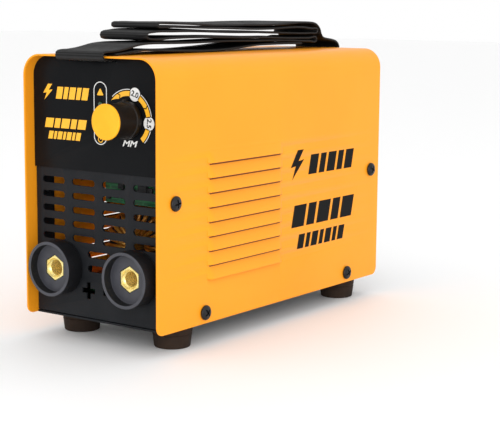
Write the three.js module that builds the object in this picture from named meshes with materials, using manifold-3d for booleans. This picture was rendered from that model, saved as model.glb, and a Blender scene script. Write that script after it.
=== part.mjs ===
// A compact inverter stick welder: a folded orange cover over a steel tray, with a slotted front panel,
// two cable sockets, a current knob, a fan and a power switch at the back, and a webbing carry strap.
// Millimetres. +X is to the right of someone facing the front, the front faces -Y, +Z is up, and the
// origin is the middle of the footprint, on the surface that the rubber feet stand on.
import * as THREE from "three";
import { mergeVertices } from "three/addons/utils/BufferGeometryUtils.js";
import Module from "manifold-3d";

// ---- Case ----
const caseWidth = 101;
const caseDepth = 238.4;
const caseHeight = 155;
const footHeight = 13;
const coverSheet = 1;
const coverTopRadius = 12.5;
const coverSkirtRadius = 5;
const gap = 0.3; // between pieces that touch
const panelSheet = 1.2;
const panelFlange = 14;
const frontRecess = 8.2; // from the cover's front edge to the front panel
const rearRecess = 5;
const trayLip = 16;

// ---- Louvres in both sides ----
// The lip is the height of the hood's mouth, and the crown is where its slope begins.
const louvreCount = 9;
const louvrePitch = 8.5;
const louvreLength = 75;
const louvreFromFront = 46;
const louvreFromBottom = 25.3;
const louvreRise = 2.4;
const louvreLip = 0.08 * louvrePitch;
const louvreCrown = 0.3 * louvrePitch;
const louvreTopGap = 0.4; // plain wall between two louvres

// ---- Screws ----
const screwHeadRadius = 4.4;
const screwHeadHeight = 2.4;
const screwRadius = 2;
const screwLength = 6;
const holeClearance = 0.3;
// From the cover's front edge and from its bottom edge.
const sideScrewPlaces = [
  { name: "front_upper", back: 15.7, up: 73.8 },
  { name: "front_lower", back: 43.5, up: 6.7 },
  { name: "rear_upper", back: caseDepth - 11, up: 73.8 },
  { name: "rear_lower", back: caseDepth - 39.5, up: 6.7 },
];
const recessWidth = 0.9; // of the cross in a screw's head
const recessDepth = 1.4;

// ---- Front panel ----
const ventSlotLength = 17.7;
const ventSlotHeight = 3.9;
const ventColumns = 4;
const ventColumnPitch = 23.4;
const ventRows = 5;
const ventRowPitch = 8.35;
const ventTopRow = 81.3; // above the case's bottom edge
const ventMiddleRows = 2;
const markSize = 10; // the cut-out plus and minus signs
const markBar = 3;
const markOffset = 8.2;
const markHeight = 17.9;
const labelBottom = 88.5;
const labelThickness = 0.6;

// ---- Cable sockets ----
const socketSpacing = 57.6;
const socketUp = 30.1;
const collarRadius = 16.3;
const collarWall = 2;
const collarLength = 12;
const collarRecess = 5.5;
const collarEdge = 0.6; // the bevel round its outer edge
const collarNeckRadius = 11.5;
const collarNeckLength = 14;
const contactAcross = 13.2; // across the flats of the brass hexagon
const contactBoreRadius = 4.5;
const contactBoreDepth = 20;
const contactFlare = 1.6; // how far the bore opens out at its mouth
const socketNutRadius = 15;
const socketNutLength = 5;
const busbarThickness = 2;
const busbarWidth = 14;
const busbarFoot = 9;
const stemBoltRadius = 3;
const stemBoltHead = 4;
const nutShare = 0.92; // a round nut's width across the flats, as a share of its diameter

// ---- Current knob and its potentiometer ----
const knobX = 23.7;
const knobUp = 119.8;
const knobRadius = 9.9;
const knobSkirtRadius = knobRadius + 0.9;
const knobSkirtLength = 3.5;
const knobClearance = 0.6; // behind the knob's skirt
const knobTaper = 0.3;
const knobWall = 2; // between the cap's boss and the potentiometer's shaft
const pointerWidth = 1.8;
const pointerRise = 1.2;
const knobLength = 19;
const knobCapRadius = knobRadius + 0.2;
const knobCapThickness = 1.6;
const knobCapBossRadius = 6;
const knobCapBossDepth = 2.4;
const shaftRadius = 3;
const bushRadius = 4.4;
const potRadius = 8;
const potDepth = 9;
const potBack = 1.5; // thickness of its back
const potNutRadius = 6.2;
const potNutThickness = 2;

// ---- Indicator lights ----
const lampX = 3;
const lampUps = [127.5, 115.5];
const lampNames = ["power_lamp", "alarm_lamp"];
const lampRadius = 1.6;
const lampProud = 0.9;

// ---- Feet ----
const footX = caseWidth / 2 - 15.1;
const footBacks = [32, caseDepth - 26.9]; // from the cover's front edge
const footTopRadius = 12;
const footBottomRadius = 10;
const footBoreRadius = 5.2;
const footBoreDepth = 6;
const footEdge = 0.7; // the bevel round its lower edge

// ---- Fan at the back ----
const fanSize = 80;
const fanDepth = 25;
const fanUp = fanSize / 2 + 8;
const fanHoleRadius = 0.47 * fanSize;
const fanHubRadius = 15;
const fanCorner = 5;
const fanCarrier = 3; // thickness of the cross that carries the motor
const fanBlades = 7;
const bladeThickness = 1.4;
const bladeChord = 20;
const bladePitch = THREE.MathUtils.degToRad(48);
const fanScrewSpacing = 0.894 * fanSize;
const fanTipClearance = 1;
const grilleRings = [1 / 3, 0.532, 0.731, 0.931]; // shares of the fan's hole radius
const grilleSlot = 4;
const grilleRib = 3.5;
const grilleSectors = 4;

// ---- Switch and cable gland at the back ----
const switchX = -24;
const switchUp = 120;
const switchWidth = 22;
const switchHeight = 30;
const switchDepth = 18; // behind the rear panel
const bezel = 2;
const pocketDepth = 7;
const rockerRadius = 12;
const rockerWidth = 16;
const rockerTilt = THREE.MathUtils.degToRad(12);
const glandX = 24;
const glandUp = 120;
const glandBore = 4.2;
const glandThread = 7.5;
const glandHead = 11;
const glandLength = 20;

// ---- Electronics ----
const boardThickness = 1.6;
const controlBoardWidth = 50;
const controlBoardHeight = 70;
const controlBoardX = 21;
const controlBoardDrop = 15; // from the knob's axis down to the board's middle
const chipThickness = 3;
const powerBoardWidth = caseWidth - 17;
const powerBoardLength = 150;
const standOffRadius = 2.5;
const standOffInset = 4;
const powerBoardFromFront = 46;
const standOff = 6;
const sinkLength = 64;
const sinkHeight = 78;
const sinkReach = powerBoardWidth / 2 - 8;
const sinkPlate = 4;
const sinkFins = 8;
const sinkFin = 1.6;
const coreWidth = 40;
const coreHeight = 50;
const coreDepth = 18;
const coreLeg = 10;
const windingReach = 8;
const chokeRadius = 26;
const chokeHole = 9;
const chokeWidth = 16;
const chokeWire = 3;
const capacitorRadius = 12.5;
const capacitorHeight = 45;
const capacitorX = -22;
const capacitorFromFront = powerBoardFromFront + 66;

// ---- Carry strap ----
const strapWidth = 36;
const strapThickness = 1.5;
const strapX = -4;
const strapLoop = 2.2; // radius of the webbing's middle where it wraps the cover's edges
const strapTail = 18;
const clampThickness = 1.6;
const clampWidth = 8;

// Places worked out from the sizes above.
const bottomZ = footHeight;
const topZ = footHeight + caseHeight;
const frontY = -caseDepth / 2;
const rearY = caseDepth / 2;
const frontPanelY = frontY + frontRecess;
const rearPanelY = rearY - rearRecess;
const innerHalf = caseWidth / 2 - coverSheet - gap;
const innerTop = topZ - coverSheet - gap;
const innerRadius = coverTopRadius - coverSheet - gap;
const panelBottom = bottomZ + panelSheet + gap;
const labelY = frontPanelY - gap - labelThickness;
const knobZ = bottomZ + knobUp;
const socketZ = bottomZ + socketUp;
const fanZ = bottomZ + fanUp;
const switchZ = bottomZ + switchUp;
const glandZ = bottomZ + glandUp;
const boardZ = bottomZ + panelSheet + gap + standOff;

// ---- Solids: a closed geometry becomes a manifold for a cut or a join, and comes back ----
const wasm = await Module();
wasm.setup();

function manifold(geometry) {
  const bare = geometry.clone();
  bare.deleteAttribute("normal");
  bare.deleteAttribute("uv");
  const merged = mergeVertices(bare);
  const vertProperties = merged.attributes.position.array;
  const triVerts = new Uint32Array(merged.index.array);
  return new wasm.Manifold(new wasm.Mesh({ numProp: 3, vertProperties, triVerts }));
}

function geometryOf(made) {
  const mesh = made.getMesh();
  const geometry = new THREE.BufferGeometry();
  geometry.setAttribute("position", new THREE.BufferAttribute(mesh.vertProperties, 3));
  geometry.setIndex(new THREE.BufferAttribute(mesh.triVerts, 1));
  geometry.computeVertexNormals();
  return geometry;
}

function cut(geometry, tools) {
  return geometryOf(tools.reduce((made, tool) => made.subtract(manifold(tool)), manifold(geometry)));
}

function join(geometries) {
  return geometryOf(geometries.map(manifold).reduce((made, piece) => made.add(piece)));
}

function shared(first, second) {
  return geometryOf(manifold(first).intersect(manifold(second)));
}

// ---- Outlines ----
function rectangle(x, y, width, height) {
  const shape = new THREE.Shape();
  shape.moveTo(x - width / 2, y - height / 2);
  shape.lineTo(x + width / 2, y - height / 2);
  shape.lineTo(x + width / 2, y + height / 2);
  shape.lineTo(x - width / 2, y + height / 2);
  shape.closePath();
  return shape;
}

function polygon(points) {
  return new THREE.Shape(points.map(([x, y]) => new THREE.Vector2(x, y)));
}

function hexagon(x, y, acrossFlats) {
  const corner = acrossFlats / Math.sqrt(3);
  const turns = [0.5, 1.5, 2.5, 3.5, 4.5, 5.5].map((k) => (k * Math.PI) / 3);
  return polygon(turns.map((turn) => [x + corner * Math.cos(turn), y + corner * Math.sin(turn)]));
}

function stadium(x, y, length, height) {
  const shape = new THREE.Shape();
  const reach = (length - height) / 2;
  shape.absarc(x + reach, y, height / 2, -Math.PI / 2, Math.PI / 2);
  shape.absarc(x - reach, y, height / 2, Math.PI / 2, (3 * Math.PI) / 2);
  shape.closePath();
  return shape;
}

// A rectangle with its two upper corners rounded: the case seen from the front.
function arch(half, bottom, top, radius) {
  const shape = new THREE.Shape();
  shape.moveTo(-half, bottom);
  shape.lineTo(half, bottom);
  shape.absarc(half - radius, top - radius, radius, 0, Math.PI / 2);
  shape.absarc(radius - half, top - radius, radius, Math.PI / 2, Math.PI);
  shape.closePath();
  return shape;
}

// ---- Prisms along each axis, and turned pieces about each axis ----
function prismZ(shape, from, depth, curveSegments = 6) {
  const geometry = new THREE.ExtrudeGeometry(shape, { depth, bevelEnabled: false, curveSegments });
  return geometry.translate(0, 0, from);
}

// The outline's (x, y) lie along X and Z, and it is extruded along +Y.
function prismY(shape, from, depth, curveSegments = 6) {
  return prismZ(shape, 0, depth, curveSegments).rotateX(Math.PI / 2).translate(0, from + depth, 0);
}

// The outline's (x, y) lie along Y and Z, and it is extruded along +X.
function prismX(shape, from, depth, curveSegments = 6) {
  const turn = new THREE.Matrix4().makeBasis(
    new THREE.Vector3(0, 1, 0),
    new THREE.Vector3(0, 0, 1),
    new THREE.Vector3(1, 0, 0),
  );
  return prismZ(shape, from, depth, curveSegments).applyMatrix4(turn);
}

function block(x, y, z, width, depth, height) {
  return new THREE.BoxGeometry(width, depth, height).translate(x, y, z);
}

// A closed profile of [radius, height] points, turned about Y. It may start and end on the axis.
function turnedY(profile, segments = 24) {
  const closed = [...profile, profile[0]];
  const area = profile.reduce(
    (sum, [radius, height], i) => sum + radius * closed[i + 1][1] - closed[i + 1][0] * height,
    0,
  );
  const onAxis = profile[0][0] === 0;
  const ordered = onAxis ? profile : closed;
  const points = ordered.map(([radius, height]) => new THREE.Vector2(radius, height));
  return new THREE.LatheGeometry(area > 0 ? points : points.reverse(), segments);
}

function turnedZ(profile, segments) {
  return turnedY(profile, segments).rotateX(Math.PI / 2);
}

function turnedX(profile, segments) {
  return turnedY(profile, segments).rotateZ(-Math.PI / 2);
}

function rodY(x, z, radius, from, length, segments = 12) {
  return turnedY([[0, from], [radius, from], [radius, from + length], [0, from + length]], segments)
    .translate(x, 0, z);
}

function rodX(y, z, radius, from, length, segments = 12) {
  return turnedX([[0, from], [radius, from], [radius, from + length], [0, from + length]], segments)
    .translate(0, y, z);
}

function rodZ(x, y, radius, from, length, segments = 12) {
  return turnedZ([[0, from], [radius, from], [radius, from + length], [0, from + length]], segments)
    .translate(x, y, 0);
}

// ---- Finishes ----
function finish(colour, roughness, metalness = 0) {
  return new THREE.MeshStandardMaterial({ color: colour, roughness, metalness });
}
const orangePaint = finish(0xf7a21b, 0.45, 0.1);
const greyPaint = finish(0x2f3135, 0.55, 0.2);
const labelFilm = finish(0x1b1c1e, 0.3);
const blackPlastic = finish(0x1c1e22, 0.5);
const knobPlastic = finish(0x231a17, 0.4);
const yellowPlastic = finish(0xffc233, 0.45);
const lampGreen = finish(0x4fbf5a, 0.25);
const lampAmber = finish(0xe89a2a, 0.25);
const brass = finish(0xe3b341, 0.3, 1);
const copper = finish(0xc46a35, 0.35, 1);
const zincSteel = finish(0xb9bcc0, 0.4, 1);
const blackScrew = finish(0x1a1a1e, 0.4, 0.6);
const footRubber = finish(0x3a2e2c, 0.85);
const aluminium = finish(0xb4b7ba, 0.45, 1);
const boardGreen = finish(0x1f6b3a, 0.5);
const ferrite = finish(0x303236, 0.7);
const enamelledWire = finish(0xd08a2c, 0.35, 0.4);
const sleeveBlue = finish(0x27364f, 0.4);
const webbing = finish(0x222223, 0.9);

const welder = new THREE.Group();

function add(name, geometry, material, place = [0, 0, 0], turn = [0, 0, 0]) {
  const mesh = new THREE.Mesh(geometry, material);
  mesh.name = name;
  mesh.position.set(...place);
  mesh.rotation.set(...turn);
  welder.add(mesh);
}

// ---- Cover: one sheet folded over the top and down both sides, with pressed louvres ----
function louvreOutline(side, bottom, inset) {
  const wall = caseWidth / 2;
  const top = bottom + louvrePitch - inset;
  const reach = louvreRise - inset;
  const isMouth = inset > 0;
  const back = isMouth ? wall - coverSheet - 1 : wall - coverSheet / 2;
  const floor = bottom + louvreLip - (isMouth ? 1 : 0);
  const points = [
    [back, floor],
    [wall + reach, floor],
    [wall + reach, bottom + louvreCrown],
    [wall - inset, top - louvreTopGap],
    [back, top - louvreTopGap],
  ];
  return polygon(points.map(([x, z]) => [side * x, z]));
}

function makeCover() {
  const outside = arch(caseWidth / 2, bottomZ, topZ, coverTopRadius);
  const inside = arch(
    caseWidth / 2 - coverSheet,
    bottomZ - 1,
    topZ - coverSheet,
    coverTopRadius - coverSheet,
  );
  const shell = cut(prismY(outside, frontY, caseDepth), [
    prismY(inside, frontY - 1, caseDepth + 2),
  ]);
  const skirt = new THREE.Shape();
  const skirtZ = bottomZ + coverSkirtRadius;
  skirt.absarc(frontY + coverSkirtRadius, skirtZ, coverSkirtRadius, Math.PI, 1.5 * Math.PI);
  skirt.absarc(rearY - coverSkirtRadius, skirtZ, coverSkirtRadius, -Math.PI / 2, 0);
  skirt.lineTo(rearY, topZ);
  skirt.lineTo(frontY, topZ);
  skirt.closePath();
  const folded = shared(shell, prismX(skirt, -caseWidth / 2, caseWidth));
  const hoods = [];
  const mouths = [];
  const louvreFrom = frontY + louvreFromFront;
  const mouthFrom = louvreFrom + coverSheet;
  const mouthLength = louvreLength - 2 * coverSheet;
  for (const side of [-1, 1]) {
    for (let row = 0; row < louvreCount; row += 1) {
      const bottom = bottomZ + louvreFromBottom + row * louvrePitch;
      hoods.push(prismY(louvreOutline(side, bottom, 0), louvreFrom, louvreLength));
      mouths.push(prismY(louvreOutline(side, bottom, coverSheet), mouthFrom, mouthLength));
    }
  }
  return cut(join([folded, ...hoods]), [...mouths, ...sideScrewHoles()]);
}

function sideScrewHoles() {
  const holeRadius = screwRadius + holeClearance;
  return sideScrewPlaces.map(({ back, up }) =>
    rodX(frontY + back, bottomZ + up, holeRadius, -caseWidth / 2 - 1, caseWidth + 2),
  );
}

// ---- Tray: the floor of the case, with a lip up each side behind the front panel's flange ----
function makeTray() {
  const from = frontPanelY;
  const length = rearPanelY - frontPanelY;
  const lipFrom = from + panelFlange + 2;
  const lipLength = length - 2 * panelFlange - 4;
  const floorZ = bottomZ + panelSheet / 2;
  const floor = block(0, from + length / 2, floorZ, 2 * innerHalf, length, panelSheet);
  const lips = [-1, 1].map((side) =>
    block(
      side * (innerHalf - panelSheet / 2),
      lipFrom + lipLength / 2,
      bottomZ + trayLip / 2,
      panelSheet,
      lipLength,
      trayLip,
    ),
  );
  const holes = footPlaces().map(({ x, y }) =>
    rodZ(x, y, screwRadius + holeClearance, bottomZ - 1, panelSheet + 2),
  );
  return cut(join([floor, ...lips]), [...holes, ...sideScrewHoles()]);
}

// ---- Front and rear panels: pressed pans, open towards the middle of the case ----
function makePan(outerY, inward) {
  const outline = arch(innerHalf, panelBottom, innerTop, innerRadius);
  const hollow = arch(
    innerHalf - panelSheet,
    panelBottom + panelSheet,
    innerTop - panelSheet,
    innerRadius - panelSheet,
  );
  const start = inward > 0 ? outerY : outerY - panelFlange;
  const hollowStart = inward > 0 ? outerY + panelSheet : outerY - panelFlange - 1;
  return cut(prismY(outline, start, panelFlange), [
    prismY(hollow, hollowStart, panelFlange - panelSheet + 1),
    strapSlot(start - 1, panelFlange + 2, strapThickness + 2 * gap),
    strapSlot(hollowStart, panelFlange - panelSheet + 1, strapThickness + clampThickness + 3 * gap),
    ...sideScrewHoles(),
  ]);
}

// A notch that lets the strap's tail, or its clamp, pass between a panel's top edge and the cover.
function strapSlot(from, length, depth) {
  return block(strapX, from + length / 2, innerTop, strapWidth + 2, length, 2 * depth);
}

function ventCuts(from, length) {
  const cuts = [];
  for (let row = 0; row < ventRows; row += 1) {
    for (let column = 0; column < ventColumns; column += 1) {
      const x = (column - (ventColumns - 1) / 2) * ventColumnPitch;
      const z = bottomZ + ventTopRow - row * ventRowPitch;
      cuts.push(prismY(stadium(x, z, ventSlotLength, ventSlotHeight), from, length, 4));
    }
  }
  for (let row = 0; row < ventMiddleRows; row += 1) {
    const z = bottomZ + ventTopRow - (ventRows + row) * ventRowPitch;
    cuts.push(prismY(stadium(0, z, ventSlotLength, ventSlotHeight), from, length, 4));
  }
  return cuts;
}

function makeFrontPanel() {
  const from = frontPanelY - 1;
  const through = panelSheet + 2;
  const markZ = bottomZ + markHeight;
  const plusAcross = prismY(rectangle(-markOffset, markZ, markSize, markBar), from, through);
  const plusUp = prismY(rectangle(-markOffset, markZ, markBar, markSize), from, through);
  const minus = prismY(rectangle(markOffset, markZ, markSize, markBar), from, through);
  const sockets = socketPlaces().map(({ x }) =>
    rodY(x, socketZ, collarNeckRadius + holeClearance, from, through, 24),
  );
  const bush = rodY(knobX, knobZ, bushRadius + holeClearance, from, through);
  const lamps = lampHoles(from, through);
  return cut(makePan(frontPanelY, 1), [
    ...ventCuts(from, through),
    plusAcross,
    plusUp,
    minus,
    ...sockets,
    bush,
    ...lamps,
  ]);
}

function lampHoles(from, length) {
  const radius = lampRadius + holeClearance;
  return lampUps.map((up) => rodY(lampX, bottomZ + up, radius, from, length));
}

// The printed film over the upper part of the front panel.
function makeLabel() {
  const outline = arch(innerHalf, bottomZ + labelBottom, innerTop, innerRadius);
  const from = labelY - 1;
  const through = labelThickness + 2;
  const bush = rodY(knobX, knobZ, bushRadius + holeClearance, from, through);
  const lamps = lampHoles(from, through);
  const notch = strapSlot(from, through, strapThickness + 2 * gap);
  return cut(prismY(outline, labelY, labelThickness), [bush, ...lamps, notch]);
}

// A grille of curved slots in front of the fan.
function fanGrilleCuts(from, length) {
  const cuts = [];
  for (const share of grilleRings) {
    const radius = share * fanHoleRadius;
    const ribAngle = grilleRib / radius;
    for (let sector = 0; sector < grilleSectors; sector += 1) {
      const start = ((sector + 0.5) * 2 * Math.PI) / grilleSectors + ribAngle / 2;
      const end = start + (2 * Math.PI) / grilleSectors - ribAngle;
      const shape = new THREE.Shape();
      shape.absarc(0, 0, radius + grilleSlot / 2, start, end);
      shape.absarc(0, 0, radius - grilleSlot / 2, end, start, true);
      shape.closePath();
      cuts.push(prismY(shape, from, length, 4).translate(0, 0, fanZ));
    }
  }
  return cuts;
}

function fanScrewPlaces() {
  const half = fanScrewSpacing / 2;
  return [
    { name: "1", x: -half, z: fanZ - half },
    { name: "2", x: half, z: fanZ - half },
    { name: "3", x: -half, z: fanZ + half },
    { name: "4", x: half, z: fanZ + half },
  ];
}

function makeRearPanel() {
  const from = rearPanelY - panelSheet - 1;
  const through = panelSheet + 2;
  const screws = fanScrewPlaces().map(({ x, z }) =>
    rodY(x, z, screwRadius + holeClearance, from, through),
  );
  const cutWidth = switchWidth - 2 * bezel + 2 * gap;
  const cutHeight = switchHeight - 2 * bezel + 2 * gap;
  const switchCut = prismY(rectangle(switchX, switchZ, cutWidth, cutHeight), from, through);
  const gland = rodY(glandX, glandZ, glandThread + holeClearance, from, through, 24);
  return cut(makePan(rearPanelY, -1), [...fanGrilleCuts(from, through), ...screws, switchCut, gland]);
}

// ---- Screws: a domed head with a cross recess, pointing along +X before it is turned ----
function makeScrew(length) {
  const profile = [
    [0, -length],
    [screwRadius, -length],
    [screwRadius, 0],
    [screwHeadRadius, 0],
    [screwHeadRadius, screwHeadHeight * 0.45],
    [screwHeadRadius * 0.8, screwHeadHeight * 0.85],
    [screwHeadRadius * 0.45, screwHeadHeight],
    [0, screwHeadHeight],
  ];
  const recessLength = screwHeadRadius * 1.1;
  const recess = [
    block(screwHeadHeight, 0, 0, 2 * recessDepth, recessLength, recessWidth),
    block(screwHeadHeight, 0, 0, 2 * recessDepth, recessWidth, recessLength),
  ];
  return cut(turnedX(profile, 12), recess);
}

// ---- Feet ----
function footPlaces() {
  const places = [];
  footBacks.forEach((back, row) => {
    for (const side of [-1, 1]) {
      const name = (row === 0 ? "front_" : "rear_") + (side < 0 ? "left" : "right");
      places.push({ name, x: side * footX, y: frontY + back });
    }
  });
  return places;
}

function makeFoot() {
  const top = footHeight - gap;
  return turnedZ(
    [
      [screwRadius + holeClearance, top],
      [footTopRadius, top],
      [footBottomRadius + footEdge, footEdge],
      [footBottomRadius, 0],
      [footBoreRadius, 0],
      [footBoreRadius, footBoreDepth],
      [screwRadius + holeClearance, footBoreDepth],
    ],
    24,
  );
}

// ---- Cable sockets ----
function socketPlaces() {
  return [
    { name: "positive", x: -socketSpacing / 2 },
    { name: "negative", x: socketSpacing / 2 },
  ];
}

// The moulded body: a collar in front of the panel and a threaded neck through it.
function makeCollar() {
  const face = -collarLength;
  const floor = face + collarRecess;
  const body = turnedY(
    [
      [0, floor],
      [collarRadius - collarWall - collarEdge, floor],
      [collarRadius - collarWall, face],
      [collarRadius - collarEdge, face],
      [collarRadius, face + collarEdge],
      [collarRadius, -gap],
      [0, -gap],
    ],
    32,
  );
  const neck = rodY(0, 0, collarNeckRadius, -1, collarNeckLength + 1, 24);
  const hollow = prismY(
    hexagon(0, 0, contactAcross + 2 * gap),
    floor - 1,
    collarNeckLength - floor + 2,
  );
  return cut(join([body, neck]), [hollow]);
}

function makeContact() {
  const face = collarRecess - collarLength;
  const hex = prismY(hexagon(0, 0, contactAcross), face, collarNeckLength - face + 1);
  const bore = turnedY(
    [
      [0, face - 1],
      [contactBoreRadius + contactFlare, face - 1],
      [contactBoreRadius, face + contactFlare / 2],
      [contactBoreRadius, face + contactBoreDepth],
      [0, face + contactBoreDepth],
    ],
    20,
  );
  const boltHole = rodY(0, 0, stemBoltRadius + holeClearance, face + contactBoreDepth - 1, 12, 12);
  return cut(hex, [bore, boltHole]);
}

function makeSocketNut() {
  const nut = prismY(
    hexagon(0, 0, 2 * socketNutRadius * nutShare),
    panelSheet + gap,
    socketNutLength,
  );
  return cut(nut, [rodY(0, 0, collarNeckRadius + gap, 0, socketNutLength + 3, 24)]);
}

// A copper strip bent in a Z, from the back of a socket down to the power board.
function makeBusbar() {
  const start = collarNeckLength + 1 + gap;
  const boardEdge = frontY + powerBoardFromFront - frontPanelY;
  const lowZ = boardZ + boardThickness + gap - socketZ;
  const runZ = -busbarWidth / 2;
  const dropY = boardEdge + busbarThickness;
  const middleZ = (lowZ + runZ) / 2;
  const footZ = lowZ + busbarThickness / 2;
  const riser = block(0, start + busbarThickness / 2, 0, busbarWidth, busbarThickness, busbarWidth);
  const run = block(0, (start + dropY) / 2, runZ, busbarWidth, dropY - start, busbarThickness);
  const drop = block(0, dropY, middleZ, busbarWidth, busbarThickness, runZ - lowZ);
  const foot = block(0, dropY + busbarFoot / 2, footZ, busbarWidth, busbarFoot, busbarThickness);
  const hole = rodY(0, 0, stemBoltRadius + holeClearance, start - 1, busbarThickness + 2, 12);
  return cut(join([riser, run, drop, foot]), [hole]);
}

function makeSocketBolt() {
  const seat = collarNeckLength + 1 + 2 * gap + busbarThickness;
  const face = collarRecess - collarLength;
  const tip = face + contactBoreDepth + gap;
  const head = prismY(hexagon(0, 0, 2.9 * stemBoltRadius), seat, stemBoltHead);
  return join([head, rodY(0, 0, stemBoltRadius, tip, seat - tip + 1, 12)]);
}

// ---- Knob, cap and potentiometer, measured from the front panel's face ----
const knobBack = -gap - labelThickness - knobClearance;
const knobFace = knobBack - knobLength + knobCapThickness + gap;

function makeKnob() {
  const hollowRadius = potNutRadius + 1.2;
  const hollowY = knobBack - potNutThickness - labelThickness - 1.6;
  const skirtY = knobBack - knobSkirtLength;
  const bossY = knobFace + knobCapBossDepth;
  const body = turnedY(
    [
      [shaftRadius + gap, hollowY],
      [hollowRadius, hollowY],
      [hollowRadius, knobBack],
      [knobSkirtRadius, knobBack],
      [knobSkirtRadius, skirtY],
      [knobRadius, skirtY - 0.8],
      [knobRadius - knobTaper, knobFace],
      [knobCapBossRadius + gap, knobFace],
      [knobCapBossRadius + gap, bossY],
      [0, bossY],
      [0, bossY + knobWall],
      [shaftRadius + gap, bossY + knobWall],
    ],
    32,
  );
  const pointerY = skirtY + knobSkirtLength / 2 - 1;
  const pointerZ = knobSkirtRadius - pointerRise / 6;
  const pointer = block(0, pointerY, pointerZ, pointerWidth, knobSkirtLength, 2 * pointerRise);
  return join([body, pointer]);
}

function makeKnobCap() {
  const seat = knobFace - gap;
  const front = seat - knobCapThickness;
  return turnedY(
    [
      [0, seat + knobCapBossDepth],
      [knobCapBossRadius, seat + knobCapBossDepth],
      [knobCapBossRadius, seat],
      [knobCapRadius, seat],
      [knobCapRadius, front + 0.7],
      [knobCapRadius - 0.7, front],
      [0, front],
    ],
    32,
  );
}

function makePotentiometer() {
  const seat = panelSheet + gap;
  const front = -gap - labelThickness - gap - potNutThickness - 0.5;
  return turnedY(
    [
      [shaftRadius + gap, front],
      [bushRadius, front],
      [bushRadius, seat],
      [potRadius, seat],
      [potRadius, seat + potDepth],
      [0, seat + potDepth],
      [0, seat + potDepth - potBack],
      [shaftRadius + gap, seat + potDepth - potBack],
    ].reverse(),
    24,
  );
}

function makePotShaft() {
  const from = knobFace + knobCapBossDepth + knobWall + gap;
  const to = panelSheet + potDepth - potBack;
  return rodY(0, 0, shaftRadius, from, to - from, 16);
}

function makePotNut() {
  const seat = -gap - labelThickness - gap - potNutThickness;
  const nut = prismY(hexagon(0, 0, 2 * potNutRadius * 0.86), seat, potNutThickness);
  return cut(nut, [rodY(0, 0, bushRadius + gap, seat - 1, potNutThickness + 2)]);
}

// A clear lens in the label, with its light pipe back to the control board.
function makeLamp() {
  const back = controlBoardY() - gap - frontPanelY;
  const face = labelY - frontPanelY;
  return turnedY(
    [
      [0, back],
      [lampRadius, back],
      [lampRadius, face],
      [lampRadius * 0.7, face - lampProud * 0.7],
      [0, face - lampProud],
    ],
    16,
  );
}

// ---- Boards ----
function controlBoardY() {
  return frontPanelY + panelSheet + 2 * gap + potDepth;
}

function makeControlBoard() {
  const z = knobZ - controlBoardDrop;
  const board = block(
    controlBoardX,
    controlBoardY() + boardThickness / 2,
    z,
    controlBoardWidth,
    boardThickness,
    controlBoardHeight,
  );
  const chipY = controlBoardY() + boardThickness + chipThickness / 3;
  const chips = [
    [10, -26, 14, 9],
    [-12, -20, 12, 8],
    [12, -8, 10, 10],
    [-10, 2, 8, 12],
  ].map(([x, up, width, height]) =>
    block(controlBoardX + x, chipY, z + up, width, chipThickness, height),
  );
  return join([board, ...chips]);
}

function makePowerBoard() {
  const y = frontY + powerBoardFromFront + powerBoardLength / 2;
  const z = boardZ + boardThickness / 2;
  const board = block(0, y, z, powerBoardWidth, powerBoardLength, boardThickness);
  const legs = [];
  for (const sideX of [-1, 1]) {
    for (const sideY of [-1, 1]) {
      const legX = sideX * (powerBoardWidth / 2 - standOffInset);
      const legY = y + sideY * (powerBoardLength / 2 - standOffInset);
      legs.push(rodZ(legX, legY, standOffRadius, boardZ - standOff, standOff + 0.5, 10));
    }
  }
  return join([board, ...legs]);
}

// ---- Heatsinks: a plate along the side with fins that point to the middle ----
function makeHeatsink(side) {
  const low = boardZ + boardThickness + gap;
  const outer = powerBoardWidth / 2;
  const pitch = (sinkHeight - sinkFin) / (sinkFins - 1);
  const points = [
    [outer, low],
    [outer, low + sinkHeight],
  ];
  for (let fin = sinkFins - 1; fin >= 0; fin -= 1) {
    const z = low + fin * pitch;
    points.push([outer - sinkReach, z + sinkFin], [outer - sinkReach, z]);
    if (fin > 0) {
      points.push([outer - sinkPlate, z], [outer - sinkPlate, z - pitch + sinkFin]);
    }
  }
  const y = frontY + powerBoardFromFront + powerBoardLength - sinkLength;
  return prismY(polygon(points.map(([x, z]) => [side * x, z])), y, sinkLength);
}

// ---- Transformer: a ferrite core with two windows, and the winding on its middle leg ----
const transformer = { x: 17, y: frontY + powerBoardFromFront + 43.2 };

function makeCore() {
  const low = boardZ + boardThickness + gap;
  const frame = rectangle(transformer.x, low + coreHeight / 2, coreWidth, coreHeight);
  const window = (coreWidth - 3 * coreLeg) / 2;
  const windows = [-1, 1].map((side) =>
    rectangle(
      transformer.x + side * (coreLeg / 2 + window / 2),
      low + coreHeight / 2,
      window,
      coreHeight - 1.2 * coreLeg,
    ),
  );
  const tools = windows.map((shape) => prismY(shape, transformer.y - 1, coreDepth + 2));
  return cut(prismY(frame, transformer.y, coreDepth), tools);
}

function makeWinding() {
  const low = boardZ + boardThickness + gap;
  const window = (coreWidth - 3 * coreLeg) / 2;
  const height = coreHeight - 1.2 * coreLeg - 2 * gap;
  const middle = low + coreHeight / 2;
  const outer = block(
    transformer.x,
    transformer.y + coreDepth / 2,
    middle,
    coreLeg + 2 * window - 2 * gap,
    coreDepth + 2 * windingReach,
    height,
  );
  const leg = block(
    transformer.x,
    transformer.y + coreDepth / 2,
    middle,
    coreLeg + 2 * gap,
    coreDepth + 2 * gap,
    height + 2,
  );
  return cut(outer, [leg]);
}

// ---- Output choke: a ring core that stands on edge, with a winding that wraps it from outside ----
const choke = {
  x: -16,
  y: frontY + powerBoardFromFront + 22.7,
  z: boardZ + boardThickness + gap + chokeRadius,
};

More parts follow.
